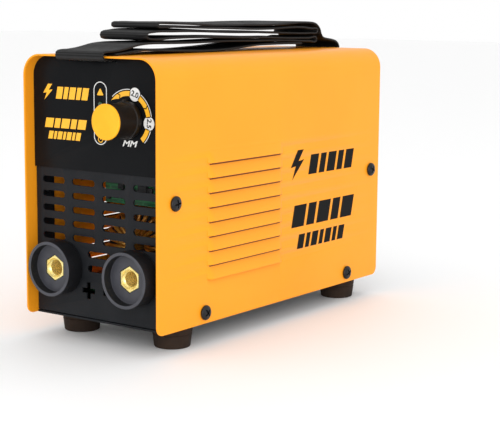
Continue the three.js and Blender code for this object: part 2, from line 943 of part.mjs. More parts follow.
function makeChokeCore() {
  const outer = chokeRadius - chokeWire - gap;
  const half = chokeWidth / 2;
  return turnedY([
    [chokeHole, -half],
    [outer, -half],
    [outer, half],
    [chokeHole, half],
  ]);
}

function makeChokeWinding() {
  const inner = chokeHole + 1;
  const near = chokeWidth / 2 + gap;
  const far = near + chokeWire;
  return turnedY([
    [inner, -far],
    [chokeRadius, -far],
    [chokeRadius, far],
    [inner, far],
    [inner, near],
    [chokeRadius - chokeWire, near],
    [chokeRadius - chokeWire, -near],
    [inner, -near],
  ]);
}

function makeCapacitor() {
  const low = boardZ + boardThickness + gap;
  return turnedZ(
    [
      [0, low],
      [capacitorRadius, low],
      [capacitorRadius, low + capacitorHeight - 1],
      [capacitorRadius - 1, low + capacitorHeight],
      [0, low + capacitorHeight],
    ],
    20,
  );
}

// ---- Fan ----
function makeFanFrame() {
  const from = rearPanelY - panelSheet - gap - fanDepth;
  const half = fanSize / 2;
  const corner = fanCorner;
  const outline = new THREE.Shape();
  outline.absarc(half - corner, half - corner, corner, 0, Math.PI / 2);
  outline.absarc(corner - half, half - corner, corner, Math.PI / 2, Math.PI);
  outline.absarc(corner - half, corner - half, corner, Math.PI, 1.5 * Math.PI);
  outline.absarc(half - corner, corner - half, corner, 1.5 * Math.PI, 2 * Math.PI);
  outline.closePath();
  const throat = rodY(0, 0, fanHoleRadius, from - 1, fanDepth + 2, 40);
  const ring = cut(prismY(outline, from, fanDepth), [throat]);
  const carrier = fanCarrier;
  const hub = rodY(0, 0, fanHubRadius, from, carrier, 24);
  const struts = [0, 1].map((k) =>
    block(0, from + carrier / 2, 0, 2 * fanHoleRadius + 2, carrier, 3.5).rotateY(k * Math.PI * 0.5),
  );
  const bearing = rodY(0, 0, screwRadius + gap, from - 1, carrier + 2);
  const holes = fanScrewPlaces().map(({ x, z }) =>
    rodY(x, z - fanZ, screwRadius + holeClearance, from - 1, fanDepth + 2, 12),
  );
  return cut(join([ring, hub, ...struts]), [bearing, ...holes]).translate(0, 0, fanZ);
}

function makeFanRotor() {
  const from = rearPanelY - panelSheet - gap - fanDepth + fanCarrier + 1;
  const length = fanDepth - 2 * fanCarrier;
  const hub = rodY(0, 0, fanHubRadius, from, length, 24);
  const shaft = rodY(0, 0, screwRadius, from - 3.5, 4, 12);
  const reach = fanHoleRadius - fanTipClearance - fanHubRadius + 2;
  const blades = [];
  for (let k = 0; k < fanBlades; k += 1) {
    const blade = new THREE.BoxGeometry(bladeThickness, bladeChord, reach);
    blade.rotateZ(bladePitch);
    blade.translate(0, from + length / 2, fanHubRadius - 2 + reach / 2);
    blade.rotateY((k * 2 * Math.PI) / fanBlades);
    blades.push(blade);
  }
  const sweep = rodY(0, 0, fanHoleRadius - fanTipClearance, from, length, 32);
  return join([shared(join([hub, ...blades]), sweep), shaft]);
}

// ---- Rocker switch ----
const pivotY = rearPanelY - 1.5;

function makeSwitchHousing() {
  const bodyShape = rectangle(switchX, switchZ, switchWidth - 2 * bezel, switchHeight - 2 * bezel);
  const frameShape = rectangle(switchX, switchZ, switchWidth, switchHeight);
  const pocketHeight = 2 * (rockerRadius + gap);
  const pocketShape = rectangle(switchX, switchZ, rockerWidth + 2 * gap, pocketHeight);
  const body = prismY(bodyShape, rearPanelY - switchDepth, switchDepth + gap + 0.5);
  const frame = prismY(frameShape, rearPanelY + gap, bezel);
  const pocket = prismY(pocketShape, pivotY - pocketDepth, 20);
  return cut(join([body, frame]), [pocket]);
}

// The rocker turns about X, and its outer face is a shallow valley, one half of which lies level.
function makeRocker() {
  const edge = 4.6;
  const edgeZ = Math.sqrt(rockerRadius ** 2 - edge ** 2);
  const valley = edge - edgeZ * Math.tan(rockerTilt);
  const low = -3;
  const lowAngle = Math.asin(low / rockerRadius);
  const shape = new THREE.Shape();
  shape.moveTo(edge, edgeZ);
  shape.lineTo(valley, 0);
  shape.lineTo(edge, -edgeZ);
  shape.absarc(0, 0, rockerRadius, -Math.acos(edge / rockerRadius), -Math.PI / 2 + lowAngle, true);
  shape.absarc(0, 0, rockerRadius, Math.PI / 2 - lowAngle, Math.acos(edge / rockerRadius), true);
  shape.closePath();
  return prismX(shape, -rockerWidth / 2, rockerWidth).rotateX(rockerTilt);
}

// ---- Cable gland ----
function makeGland() {
  return turnedY(
    [
      [glandBore, -12],
      [glandThread, -12],
      [glandThread, gap],
      [glandHead, gap],
      [glandHead, 6],
      [glandHead - 1.5, 7],
      [glandHead - 1.5, glandLength - 6],
      [glandHead - 3, glandLength - 2],
      [glandBore + 1.2, glandLength],
      [glandBore, glandLength],
    ],
    24,
  );
}

function makeGlandNut() {
  const from = -panelSheet - gap - 4;
  const nut = prismY(hexagon(0, 0, 2 * glandHead * 0.95), from, 4);
  return cut(nut, [rodY(0, 0, glandThread + gap, from - 1, 6, 24)]);
}

// ---- Carry strap: one length of webbing, laid in folds along the top ----
// Its route is a list of [place along the case, height above the cover] along the webbing's middle.
// The place is a share of half the case's depth, from its middle, and is negative towards the front.
// The two loops at the ends wrap the cover's front and rear edges.
const strapRoute = [
  [-0.881, 1.6],
  [-0.738, 2.6],
  [-0.503, 2],
  [0, 1.5],
  [0.587, 1.4],
  [0.772, 1.6],
  [0.799, 3.1],
  [0.772, 4.6],
  [0.503, 4.4],
  [0, 4.6],
  [-0.419, 6.4],
  [-0.646, 7.8],
  [-0.678, 9.7],
  [-0.646, 11.6],
  [-0.336, 10.4],
  [0.084, 8.4],
  [0.503, 7.4],
  [0.772, 7.4],
  [0.8, 9],
  [0.772, 10.6],
  [0.419, 11.6],
  [0, 12.8],
  [-0.336, 13.8],
  [-0.579, 14.4],
  [-0.602, 15.8],
  [-0.579, 17.2],
  [-0.168, 17],
  [0.252, 16],
  [0.604, 15.9],
  [0.755, 15],
  [0.836, 10.5],
  [0.861, 5],
  [0.898, 2],
];

function loopPoints(edgeY, direction) {
  const steps = 6;
  const points = [];
  for (let k = 0; k <= steps; k += 1) {
    const angle = -Math.PI / 2 + (k * Math.PI) / steps;
    points.push([
      edgeY + direction * strapLoop * Math.cos(angle) + direction * 0.2,
      topZ - coverSheet - gap - strapThickness / 2 + strapLoop + strapLoop * Math.sin(angle),
    ]);
  }
  return points;
}

function strapPath() {
  const tailZ = topZ - coverSheet - gap - strapThickness / 2;
  const front = [[frontY + strapTail, tailZ], ...loopPoints(frontY, -1)];
  const middle = strapRoute.map(([share, up]) => [(share * caseDepth) / 2, topZ + up]);
  const rear = [...loopPoints(rearY, 1).reverse(), [rearY - strapTail, tailZ]];
  return [...front, ...middle, ...rear];
}

function makeStrap() {
  const points = strapPath().map(([y, z]) => new THREE.Vector2(y, z));
  const sides = points.map((point, i) => {
    const before = points[Math.max(i - 1, 0)];
    const after = points[Math.min(i + 1, points.length - 1)];
    const along = after.clone().sub(before).normalize();
    const out = new THREE.Vector2(-along.y, along.x).multiplyScalar(strapThickness / 2);
    return [point.clone().add(out), point.clone().sub(out)];
  });
  const outline = [...sides.map((pair) => pair[0]), ...sides.map((pair) => pair[1]).reverse()];
  return prismX(new THREE.Shape(outline), strapX - strapWidth / 2, strapWidth);
}

// A steel strip that clamps the strap's tail up against the cover.
function makeClamp(y) {
  const z = topZ - coverSheet - 2 * gap - strapThickness - clampThickness / 2;
  return block(strapX, y, z, strapWidth - 2, clampWidth, clampThickness);
}

// ---- Assembly ----
add("cover", makeCover(), orangePaint);
add("base_tray", makeTray(), greyPaint);
add("front_panel", makeFrontPanel(), greyPaint);
add("front_label", makeLabel(), labelFilm);
add("rear_panel", makeRearPanel(), greyPaint);

for (const { name, back, up } of sideScrewPlaces) {
  for (const [side, word] of [[-1, "left"], [1, "right"]]) {
    const place = [side * (caseWidth / 2 + gap), frontY + back, bottomZ + up];
    const turn = [0, 0, side > 0 ? 0 : Math.PI];
    add(`cover_screw_${word}_${name}`, makeScrew(screwLength), blackScrew, place, turn);
  }
}

for (const { name, x, y } of footPlaces()) {
  const seat = footBoreDepth - gap;
  const length = footHeight - seat + panelSheet + 1;
  add(`foot_${name}`, makeFoot(), footRubber, [x, y, 0]);
  add(`foot_screw_${name}`, makeScrew(length), zincSteel, [x, y, seat], [0, Math.PI / 2, 0]);
}

for (const { name, x } of socketPlaces()) {
  const place = [x, frontPanelY, socketZ];
  add(`socket_${name}`, makeCollar(), blackPlastic, place);
  add(`socket_contact_${name}`, makeContact(), brass, place);
  add(`socket_nut_${name}`, makeSocketNut(), blackPlastic, place);
  add(`busbar_${name}`, makeBusbar(), copper, place);
  add(`busbar_bolt_${name}`, makeSocketBolt(), zincSteel, place);
}

const knobPlace = [knobX, frontPanelY, knobZ];
add("current_knob", makeKnob(), knobPlastic, knobPlace);
add("knob_cap", makeKnobCap(), yellowPlastic, knobPlace);
add("potentiometer_shaft", makePotShaft(), aluminium, knobPlace);
add("potentiometer", makePotentiometer(), aluminium, knobPlace);
add("potentiometer_nut", makePotNut(), zincSteel, knobPlace);
const lampFinishes = [lampGreen, lampAmber];
lampUps.forEach((up, i) => {
  add(lampNames[i], makeLamp(), lampFinishes[i], [lampX, frontPanelY, bottomZ + up]);
});

add("control_board", makeControlBoard(), boardGreen);
add("power_board", makePowerBoard(), boardGreen);
add("heatsink_left", makeHeatsink(-1), aluminium);
add("heatsink_right", makeHeatsink(1), aluminium);
add("transformer_core", makeCore(), ferrite);
add("transformer_winding", makeWinding(), enamelledWire);
add("choke_core", makeChokeCore(), ferrite, [choke.x, choke.y, choke.z]);
add("choke_winding", makeChokeWinding(), enamelledWire, [choke.x, choke.y, choke.z]);
const capacitorPlace = [capacitorX, frontY + capacitorFromFront, 0];
add("capacitor", makeCapacitor(), sleeveBlue, capacitorPlace);

add("fan_frame", makeFanFrame(), blackPlastic);
add("fan_rotor", makeFanRotor(), blackPlastic, [0, 0, fanZ]);
for (const { name, x, z } of fanScrewPlaces()) {
  const place = [x, rearPanelY + gap, z];
  add(`fan_screw_${name}`, makeScrew(fanDepth * 0.4), blackScrew, place, [0, 0, Math.PI / 2]);
}

add("power_switch", makeSwitchHousing(), blackPlastic);
add("power_rocker", makeRocker(), blackPlastic, [switchX, pivotY, switchZ]);
add("cable_gland", makeGland(), blackPlastic, [glandX, rearPanelY, glandZ]);
add("gland_nut", makeGlandNut(), blackPlastic, [glandX, rearPanelY, glandZ]);

add("carry_strap", makeStrap(), webbing);
add("strap_clamp_front", makeClamp(frontPanelY + panelFlange * 0.5), zincSteel);
add("strap_clamp_rear", makeClamp(rearPanelY - panelFlange * 0.5), zincSteel);

export default welder;
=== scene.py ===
import math
import random

import bmesh
import bpy
from mathutils import Matrix, Vector


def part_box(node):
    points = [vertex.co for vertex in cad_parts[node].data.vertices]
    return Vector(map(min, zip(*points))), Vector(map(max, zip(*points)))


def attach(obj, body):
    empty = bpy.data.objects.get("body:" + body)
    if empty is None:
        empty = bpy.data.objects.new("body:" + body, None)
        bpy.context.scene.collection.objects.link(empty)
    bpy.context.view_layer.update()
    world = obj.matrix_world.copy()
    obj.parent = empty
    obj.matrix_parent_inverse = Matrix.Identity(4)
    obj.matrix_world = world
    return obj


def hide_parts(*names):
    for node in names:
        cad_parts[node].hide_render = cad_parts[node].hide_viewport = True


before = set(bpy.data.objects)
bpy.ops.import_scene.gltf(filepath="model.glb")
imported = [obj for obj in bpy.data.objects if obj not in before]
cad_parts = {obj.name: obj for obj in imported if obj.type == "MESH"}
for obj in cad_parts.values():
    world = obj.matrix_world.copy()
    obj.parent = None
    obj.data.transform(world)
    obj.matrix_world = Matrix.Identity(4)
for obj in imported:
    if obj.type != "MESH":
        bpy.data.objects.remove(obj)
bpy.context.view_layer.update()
MM = 0.001

# ---- Stage -------------------------------------------------------------------------------------
# A pale floor, a soft light at the front right, weaker ones on the right and overhead, and a camera
# that looks at the case's front right corner.
scene = bpy.context.scene
scene.view_settings.view_transform = "Standard"
studio = bpy.data.worlds.new("studio")
studio.use_nodes = True
studio.node_tree.nodes["Background"].inputs["Color"].default_value = (1.0, 1.0, 1.0, 1.0)
studio.node_tree.nodes["Background"].inputs["Strength"].default_value = 1.0
scene.world = studio


def deselect():
    if bpy.context.mode != "OBJECT":
        bpy.ops.object.mode_set(mode="OBJECT")
    bpy.ops.object.select_all(action="DESELECT")


deselect()
bpy.ops.mesh.primitive_plane_add(size=12)
floor = bpy.context.active_object
floor.name = "studio_floor"
floor_paint = bpy.data.materials.new("floor_paint")
floor_paint.use_nodes = True
floor_paint.node_tree.nodes["Principled BSDF"].inputs["Base Color"].default_value = (0.96, 0.96, 0.96, 1)
floor_paint.node_tree.nodes["Principled BSDF"].inputs["Roughness"].default_value = 0.7
floor.data.materials.append(floor_paint)

cover_low, cover_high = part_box("cover")
case_middle = (cover_low + cover_high) / 2


def soft_light(name, place, size, power):
    deselect()
    bpy.ops.object.light_add(type="AREA", location=place)
    lamp = bpy.context.active_object
    lamp.name = name
    lamp.data.size = size
    lamp.data.energy = power
    lamp.rotation_euler = (case_middle - Vector(place)).to_track_quat("-Z", "Y").to_euler()


soft_light("right_light", (1.5, -0.35, 0.7), 1.0, 2)
soft_light("front_light", (0.9, -1.25, 0.4), 0.7, 7)
soft_light("top_light", (0.1, 0.1, 1.6), 1.2, 1)

camera_azimuth = math.radians(35.65)
camera_elevation = math.radians(8.92)
camera_roll = math.radians(0.48)
backward = Vector((
    math.sin(camera_azimuth) * math.cos(camera_elevation),
    -math.cos(camera_azimuth) * math.cos(camera_elevation),
    math.sin(camera_elevation),
))
level = Vector((math.cos(camera_azimuth), math.sin(camera_azimuth), 0))
upright = backward.cross(level)
rightward = level * math.cos(camera_roll) + upright * math.sin(camera_roll)
upward = upright * math.cos(camera_roll) - level * math.sin(camera_roll)
deselect()
bpy.ops.object.camera_add(location=Vector((535.4, -707.4, 198.8)) * MM)
camera = bpy.context.active_object
camera.name = "front_right_camera"
camera.rotation_euler = Matrix((rightward, upward, backward)).transposed().to_euler()
camera.data.lens = 100.6
camera.data.sensor_width = 36
scene.camera = camera

# ---- Cover -------------------------------------------------------------------------------------
# One steel sheet, 1 mm thick, folded over the top and down both sides and powder coated orange.
# It starts as a flat grid. Each side has nine pressed louvres, each open along its lower edge.
case_half = 50.5 * MM
case_front, case_rear = cover_low.y, cover_high.y
case_bottom, case_top = cover_low.z, cover_high.z
cover_sheet = 1.0 * MM
hair = 0.01 * MM
bend_radius = 12.5 * MM
skirt_radius = 5 * MM
louvre_count = 9
louvre_pitch = 8.5 * MM
louvre_rise = 2.3 * MM
louvre_front = case_front + 46 * MM
louvre_back = louvre_front + 75 * MM
louvre_bottom = case_bottom + 25.3 * MM
louvre_end_radius = 5 * MM


def place_grid(name, columns, rows, place):
    """A grid primitive whose corner in a column and a row is moved to place(column, row)."""
    deselect()
    bpy.ops.mesh.primitive_grid_add(x_subdivisions=columns - 1, y_subdivisions=rows - 1, size=2)
    piece = bpy.context.active_object
    piece.name = piece.data.name = name
    for corner in piece.data.vertices:
        column = round((corner.co.x + 1) / 2 * (columns - 1))
        row = round((corner.co.y + 1) / 2 * (rows - 1))
        corner.co = place(column, row)
    return piece


def focus(piece):
    deselect()
    piece.select_set(True)
    bpy.context.view_layer.objects.active = piece


def pick(piece, kind, test):
    """Opens a piece in edit mode with the faces, edges or corners that pass the test selected."""
    focus(piece)
    bpy.ops.object.mode_set(mode="EDIT")
    bpy.ops.mesh.select_mode(type=kind)
    bpy.ops.mesh.select_all(action="DESELECT")
    shape = bmesh.from_edit_mesh(piece.data)
    for part in {"VERT": shape.verts, "EDGE": shape.edges, "FACE": shape.faces}[kind]:
        if test(part):
            part.select_set(True)
    bmesh.update_edit_mesh(piece.data)


def finish_with(piece, kind, **settings):
    """Adds a modifier to a piece, with its settings, and applies it."""
    focus(piece)
    bpy.ops.object.modifier_add(type=kind)
    for setting, value in settings.items():
        setattr(piece.modifiers[-1], setting, value)
    bpy.ops.object.modifier_apply(modifier=piece.modifiers[-1].name)


def round_edges(piece, width, angle=40, segments=2):
    finish_with(piece, "BEVEL", width=width, segments=segments, limit_method="ANGLE",
                angle_limit=math.radians(angle), harden_normals=False)


def smooth(piece, angle=35):
    focus(piece)
    bpy.ops.object.shade_smooth_by_angle(angle=math.radians(angle))


def close_up(piece):
    """Merges a piece's doubled corners and turns its faces outwards."""
    pick(piece, "VERT", lambda corner: True)
    bpy.ops.mesh.remove_doubles(threshold=0.000002)
    bpy.ops.mesh.select_all(action="SELECT")
    bpy.ops.mesh.normals_make_consistent(inside=False)
    deselect()


def between(first, last, steps):
    return [first + (last - first) * k / steps for k in range(steps + 1)]


# Stations along the case, close together at the rounded skirt corners and at the louvres' ends.
end_steps = between(0, louvre_end_radius, 6)
cover_columns = (
    between(case_front, case_front + skirt_radius, 4)
    + [louvre_front + step for step in end_steps]
    + between(louvre_front + louvre_end_radius, louvre_back - louvre_end_radius, 4)[1:-1]
    + [louvre_back - step for step in reversed(end_steps)]
    + between(case_rear - skirt_radius, case_rear, 4)
)

# A side from the skirt up, as (height, share of the louvre's rise). The share jumps at each lip.
louvre_profile = [(0.03, 0.0), (0.05, 1.0), (0.12, 1.0), (0.22, 0.94), (0.4, 0.74), (0.6, 0.46),
                  (0.8, 0.19), (0.92, 0.05), (1.0, 0.0)]
side_rows = [(height, 0.0) for height in between(case_bottom, case_bottom + skirt_radius, 4)]
for louvre in range(louvre_count):
    foot = louvre_bottom + louvre * louvre_pitch
    side_rows += [(foot + louvre_pitch * up, rise) for up, rise in louvre_profile]
side_rows.append((case_top - bend_radius, 0.0))
bend_steps = 12
bend_rows = [
    (
        case_half - bend_radius + bend_radius * math.cos(math.pi / 2 * k / bend_steps),
        case_top - bend_radius + bend_radius * math.sin(math.pi / 2 * k / bend_steps),
    )
    for k in range(1, bend_steps + 1)
]
right_section = [(case_half, height, rise) for height, rise in side_rows]
right_section += [(x, z, 0.0) for x, z in bend_rows]
cover_section = right_section + [(-x, z, rise) for x, z, rise in reversed(right_section)]


def louvre_end(y):
    """The share of its rise that a louvre has at a station: it is domed at both ends."""
    inside = min(y - louvre_front, louvre_back - y) / louvre_end_radius
    if inside <= 0:
        return 0.0
    return math.sqrt(1 - (1 - min(inside, 1)) ** 2)


def round_skirt(y, z):
    """Draws the square lower corners of a side in to a quarter circle."""
    nearest = min(max(y, case_front + skirt_radius), case_rear - skirt_radius)
    along, down = y - nearest, z - (case_bottom + skirt_radius)
    if along == 0 or down >= 0:
        return y, z
    squeeze = max(abs(along), abs(down)) / math.hypot(along, down)
    return nearest + along * squeeze, case_bottom + skirt_radius + down * squeeze


def fold_cover(column, row):
    x, z, rise = cover_section[row]
    y, z = round_skirt(cover_columns[column], z)
    return (x + math.copysign(louvre_rise * rise * louvre_end(y), x), y, z)


cover = place_grid("folded_cover", len(cover_columns), len(cover_section), fold_cover)


def is_mouth(face):
    """A louvre's mouth is the near level strip of sheet under its lip."""
    reach = [abs(corner.co.x) for corner in face.verts]
    heights = [corner.co.z for corner in face.verts]
    low = max(heights) - min(heights) < 0.3 * MM and max(heights) < case_top - bend_radius
    return low and max(reach) - case_half > louvre_rise * 0.5 and min(reach) < case_half + hair


pick(cover, "FACE", is_mouth)
bpy.ops.mesh.delete(type="FACE")
pick(cover, "FACE", lambda face: True)
if sum(face.normal.z for face in bmesh.from_edit_mesh(cover.data).faces) < 0:
    bpy.ops.mesh.flip_normals()
finish_with(cover, "SOLIDIFY", thickness=cover_sheet, offset=-1, use_even_offset=False)
round_edges(cover, 0.22 * MM, angle=60)
smooth(cover, 40)


def new_finish(name, roughness, metallic=0.0):
    finish = bpy.data.materials.new(name)
    finish.use_nodes = True
    shader = finish.node_tree.nodes["Principled BSDF"]
    shader.inputs["Roughness"].default_value = roughness
    shader.inputs["Metallic"].default_value = metallic
    return finish, finish.node_tree, shader


def object_place(tree):
    for node in tree.nodes:
        if node.bl_idname == "ShaderNodeTexCoord":
            return node.outputs["Object"]
    return tree.nodes.new("ShaderNodeTexCoord").outputs["Object"]


def mottle(tree, scale, detail=3.0, place=None):
    """A soft random pattern over a piece, with so many patches in a metre."""
    noise = tree.nodes.new("ShaderNodeTexNoise")
    noise.inputs["Scale"].default_value = scale
    noise.inputs["Detail"].default_value = detail
    tree.links.new(place or object_place(tree), noise.inputs["Vector"])
    return noise.outputs["Fac"]


def drift_colour(tree, shader, first, second, pattern):
    """Lets the colour wander between two near tones."""
    ramp = tree.nodes.new("ShaderNodeValToRGB")
    ramp.color_ramp.elements[0].position = 0.36
    ramp.color_ramp.elements[1].position = 0.64
    ramp.color_ramp.elements[0].color = (*first, 1)
    ramp.color_ramp.elements[1].color = (*second, 1)
    tree.links.new(pattern, ramp.inputs["Fac"])
    tree.links.new(ramp.outputs["Color"], shader.inputs["Base Color"])


def vary_gloss(tree, shader, low, high, pattern):
    reach = tree.nodes.new("ShaderNodeMapRange")
    reach.inputs["To Min"].default_value = low
    reach.inputs["To Max"].default_value = high
    tree.links.new(pattern, reach.inputs["Value"])
    tree.links.new(reach.outputs["Result"], shader.inputs["Roughness"])


def raise_grain(tree, shader, pattern, strength, depth):
    bump = tree.nodes.new("ShaderNodeBump")
    bump.inputs["Strength"].default_value = strength
    bump.inputs["Distance"].default_value = depth
    tree.links.new(pattern, bump.inputs["Height"])
    tree.links.new(bump.outputs["Normal"], shader.inputs["Normal"])


def fit(piece, finish, slot, node=None, body="case"):
    """Gives a piece its finish and lets it ride on a body, in place of its CAD node."""
    piece.data.materials.append(finish)
    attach(piece, body)
    if node:
        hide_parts(node)


orange_paint, tree, shader = new_finish("orange_powder_coat", 0.4)
drift_colour(tree, shader, (0.965, 0.345, 0.012), (0.99, 0.365, 0.015), mottle(tree, 12))
vary_gloss(tree, shader, 0.36, 0.46, mottle(tree, 55))
raise_grain(tree, shader, mottle(tree, 1100, 2), 0.1, 0.04 * MM)
shader.inputs["Specular IOR Level"].default_value = 0.2
shader.inputs["Coat Weight"].default_value = 0.05
shader.inputs["Coat Roughness"].default_value = 0.25
# Painted shade: a dark line in the paint stands for the shadow under each lip but the lowest.
split = tree.nodes.new("ShaderNodeSeparateXYZ")
tree.links.new(object_place(tree), split.inputs["Vector"])


def measure(tree, operation, value, *settings):
    """One math node on a value, with its other inputs set."""
    node = tree.nodes.new("ShaderNodeMath")
    node.operation = operation
    tree.links.new(value, node.inputs[0])
    for k, setting in enumerate(settings):
        if isinstance(setting, float):
            node.inputs[k + 1].default_value = setting
        else:
            tree.links.new(setting, node.inputs[k + 1])
    return node.outputs["Value"]


painted_shade_width = 0.75 * MM
height = measure(tree, "SUBTRACT", split.outputs["Z"], louvre_bottom)
from_lip = measure(tree, "PINGPONG", height, louvre_pitch / 2)
under_lip = measure(tree, "COMPARE", from_lip, -0.1 * MM, painted_shade_width)
rows_reach = louvre_count * louvre_pitch / 2
in_rows = measure(tree, "COMPARE", height, rows_reach, rows_reach - 2 * MM)
run_middle, run_reach = (louvre_front + louvre_back) / 2, (louvre_back - louvre_front) / 2 - 1.5 * MM
in_run = measure(tree, "COMPARE", split.outputs["Y"], run_middle, run_reach)
shaded = measure(tree, "MULTIPLY", measure(tree, "MULTIPLY", under_lip, in_rows), in_run)
# The painted shade mixes a dark brown into the paint's colour along these lines.
painted_shade_mix = tree.nodes.new("ShaderNodeMixRGB")
painted_shade_mix.inputs["Color2"].default_value = (0.2, 0.05, 0.004, 1)
tree.links.new(shaded, painted_shade_mix.inputs["Fac"])
tree.links.new(shader.inputs["Base Color"].links[0].from_socket, painted_shade_mix.inputs["Color1"])
tree.links.new(painted_shade_mix.outputs["Color"], shader.inputs["Base Color"])
fit(cover, orange_paint, "orange_paint", "cover")

# ---- Base tray ---------------------------------------------------------------------------------
# The steel floor of the case, with a lip up each side, pressed from 1.2 mm sheet and painted dark
# grey. The feet are screwed to it.


def refine(node, name, edge, angle=40, segments=2):
    """A copy of a CAD node with its triangles merged to flat faces and its edges rounded."""
    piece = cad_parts[node].copy()
    piece.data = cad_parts[node].data.copy()
    scene.collection.objects.link(piece)
    for key in list(piece.keys()):
        del piece[key]
    piece.parent = None
    piece.name = piece.data.name = name
    piece.data.materials.clear()
    close_up(piece)
    pick(piece, "FACE", lambda face: True)
    bpy.ops.mesh.dissolve_limited(angle_limit=math.radians(1.5))
    deselect()
    if edge:
        round_edges(piece, edge, angle, segments)
    smooth(piece, 30)
    return piece


def blended_finish(name, roughness, first, second, patches, gloss=(), grain=(), metallic=0.0,
                   specular=0.5):
    """A finish whose colour wanders between two near tones, with so many patches in a metre. Its
    gloss is (lowest roughness, highest, patches) and its grain is (spots, strength, depth)."""
    finish, tree, shader = new_finish(name, roughness, metallic)
    drift_colour(tree, shader, first, second, mottle(tree, patches))
    if gloss:
        vary_gloss(tree, shader, *gloss[:2], mottle(tree, gloss[2]))
    if grain:
        raise_grain(tree, shader, mottle(tree, grain[0], 2), *grain[1:])
    shader.inputs["Specular IOR Level"].default_value = specular
    return finish


dark_paint = blended_finish(
    "dark_grey_powder_coat", 0.5, (0.0105, 0.0115, 0.0135), (0.014, 0.015, 0.0175), 40,
    gloss=(0.42, 0.56, 90), grain=(1500, 0.3, 0.05 * MM), specular=0.12,
)
base_tray = refine("base_tray", "pressed_base_tray", 0.2 * MM)
fit(base_tray, dark_paint, "grey_paint", "base_tray")

# ---- Front panel -------------------------------------------------------------------------------
# A shallow pan pressed from 1.2 mm steel sheet, with its flange turned back inside the cover. The
# vents, the two polarity signs and the holes for the sockets, knob and lamps are punched in it.
front_low, front_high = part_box("front_panel")
panel_sheet = 1.2 * MM
panel_edge = 11.2 * MM
strap_middle, strap_width = -4 * MM, 36 * MM
notch_slack, notch_depth, throat_depth = 1 * MM, 2.1 * MM, 5.5 * MM
screw_hole = 2.3 * MM
socket_reach = 28.8 * MM
socket_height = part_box("socket_negative")[0].z + 16.3 * MM
knob_low, knob_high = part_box("knob_cap")
knob_x, knob_z = (knob_low.x + knob_high.x) / 2, (knob_low.z + knob_high.z) / 2
lamp_x = 3 * MM
lamp_heights = [(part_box(node)[0].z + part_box(node)[1].z) / 2 for node in ("power_lamp", "alarm_lamp")]
vent_length, vent_height = 17.7 * MM, 3.9 * MM
vent_pitch_x, vent_pitch_z = 23.4 * MM, 8.35 * MM
vent_top = case_bottom + 81.3 * MM


def block(name, low, high):
    """A cube primitive stretched between two corners."""
    deselect()
    middle = (Vector(low) + Vector(high)) / 2
    bpy.ops.mesh.primitive_cube_add(size=1, location=middle, scale=Vector(high) - Vector(low))
    piece = bpy.context.active_object
    piece.name = piece.data.name = name
    bpy.ops.object.transform_apply(location=True, rotation=True, scale=True)
    return piece


def arched_plate(name, low, high, radius):
    """A plate whose two upper corners are rounded, as the case is from the front."""
    plate = block(name, low, high)
    top = high[2] - hair
    pick(plate, "EDGE", lambda edge: all(corner.co.z > top for corner in edge.verts)
         and abs(edge.verts[0].co.x - edge.verts[1].co.x) < hair)
    bpy.ops.mesh.bevel(offset=radius, segments=14, affect="EDGES")
    deselect()
    return plate


def rod(name, place, radius, length, axis, corners=48):
    """A cylinder primitive that starts at a place and runs along an axis, X, Y or Z."""
    deselect()
    turn = {"X": Matrix.Rotation(math.pi / 2, 4, "Y"), "Y": Matrix.Rotation(-math.pi / 2, 4, "X"),
            "Z": Matrix.Identity(4)}[axis]
    bpy.ops.mesh.primitive_cylinder_add(vertices=corners, radius=radius, depth=length)
    piece = bpy.context.active_object
    piece.name = piece.data.name = name
    half_step = Matrix.Rotation(math.pi / corners, 4, "Z")
    rise = Matrix.Translation((0, 0, length / 2))
    piece.data.transform(Matrix.Translation(place) @ turn @ rise @ half_step)
    return piece


def join_as(name, pieces):
    deselect()
    for piece in pieces:
        piece.select_set(True)
    bpy.context.view_layer.objects.active = pieces[0]
    if len(pieces) > 1:
        bpy.ops.object.join()
    joined = bpy.context.active_object
    joined.name = joined.data.name = name
    return joined


def punch(piece, cutters, operation="DIFFERENCE"):
    """Cuts the joined cutters out of a piece, and throws the cutters away."""
    cutter = join_as("cutter", cutters)
    finish_with(piece, "BOOLEAN", operation=operation, solver="EXACT", object=cutter)
    bpy.data.objects.remove(cutter, do_unlink=True)


def slot_cutter(x, z, length, height, start, depth):
    """A long round-ended punch, made from a rod whose two halves are pulled apart."""
    cutter = rod("slot", (x, start, z), height / 2, depth, "Y", 32)
    pull = (length - height) / 2
    for corner in cutter.data.vertices:
        corner.co.x += math.copysign(pull, corner.co.x - x)
    return cutter


def pressed_pan(name, low, high, face_y, inward):
    """A plate at face_y with a flange turned back along inward, and its outer edge rounded."""
    pan = arched_plate(name, low, high, panel_edge)
    back_y = high[1] if inward > 0 else low[1]
    pick(pan, "FACE", lambda face: abs(face.calc_center_median().y - back_y) < hair)
    bpy.ops.mesh.inset(thickness=panel_sheet)
    depth = (high[1] - low[1] - panel_sheet) * -inward
    bpy.ops.mesh.extrude_region_move(TRANSFORM_OT_translate={"value": (0, depth, 0)})
    pick(pan, "EDGE", lambda edge: all(abs(corner.co.y - face_y) < hair for corner in edge.verts))
    bpy.ops.mesh.bevel(offset=0.9 * MM, segments=4, affect="EDGES")
    deselect()
    notch_low = (strap_middle - strap_width / 2 - notch_slack, low[1] - 1 * MM, high[2] - throat_depth)
    notch_high = (strap_middle + strap_width / 2 + notch_slack, high[1] + 1 * MM, high[2] + 2 * MM)
    throat_low = Vector(notch_low) + Vector((0, panel_sheet + 1 * MM if inward > 0 else 0, 0))
    throat_high = Vector(notch_high) - Vector((0, panel_sheet + 1 * MM if inward < 0 else 0, 0))
    punch(pan, [block("throat", throat_low, throat_high)])
    face_low = Vector((notch_low[0], notch_low[1], high[2] - notch_depth))
    punch(pan, [block("notch", face_low, notch_high)])
    return pan


def side_screw_holes(places):
    return [
        rod("screw_hole", (-case_half - 1 * MM, y, z), screw_hole, 2 * case_half + 2 * MM, "X", 24)
        for y, z in places
    ]


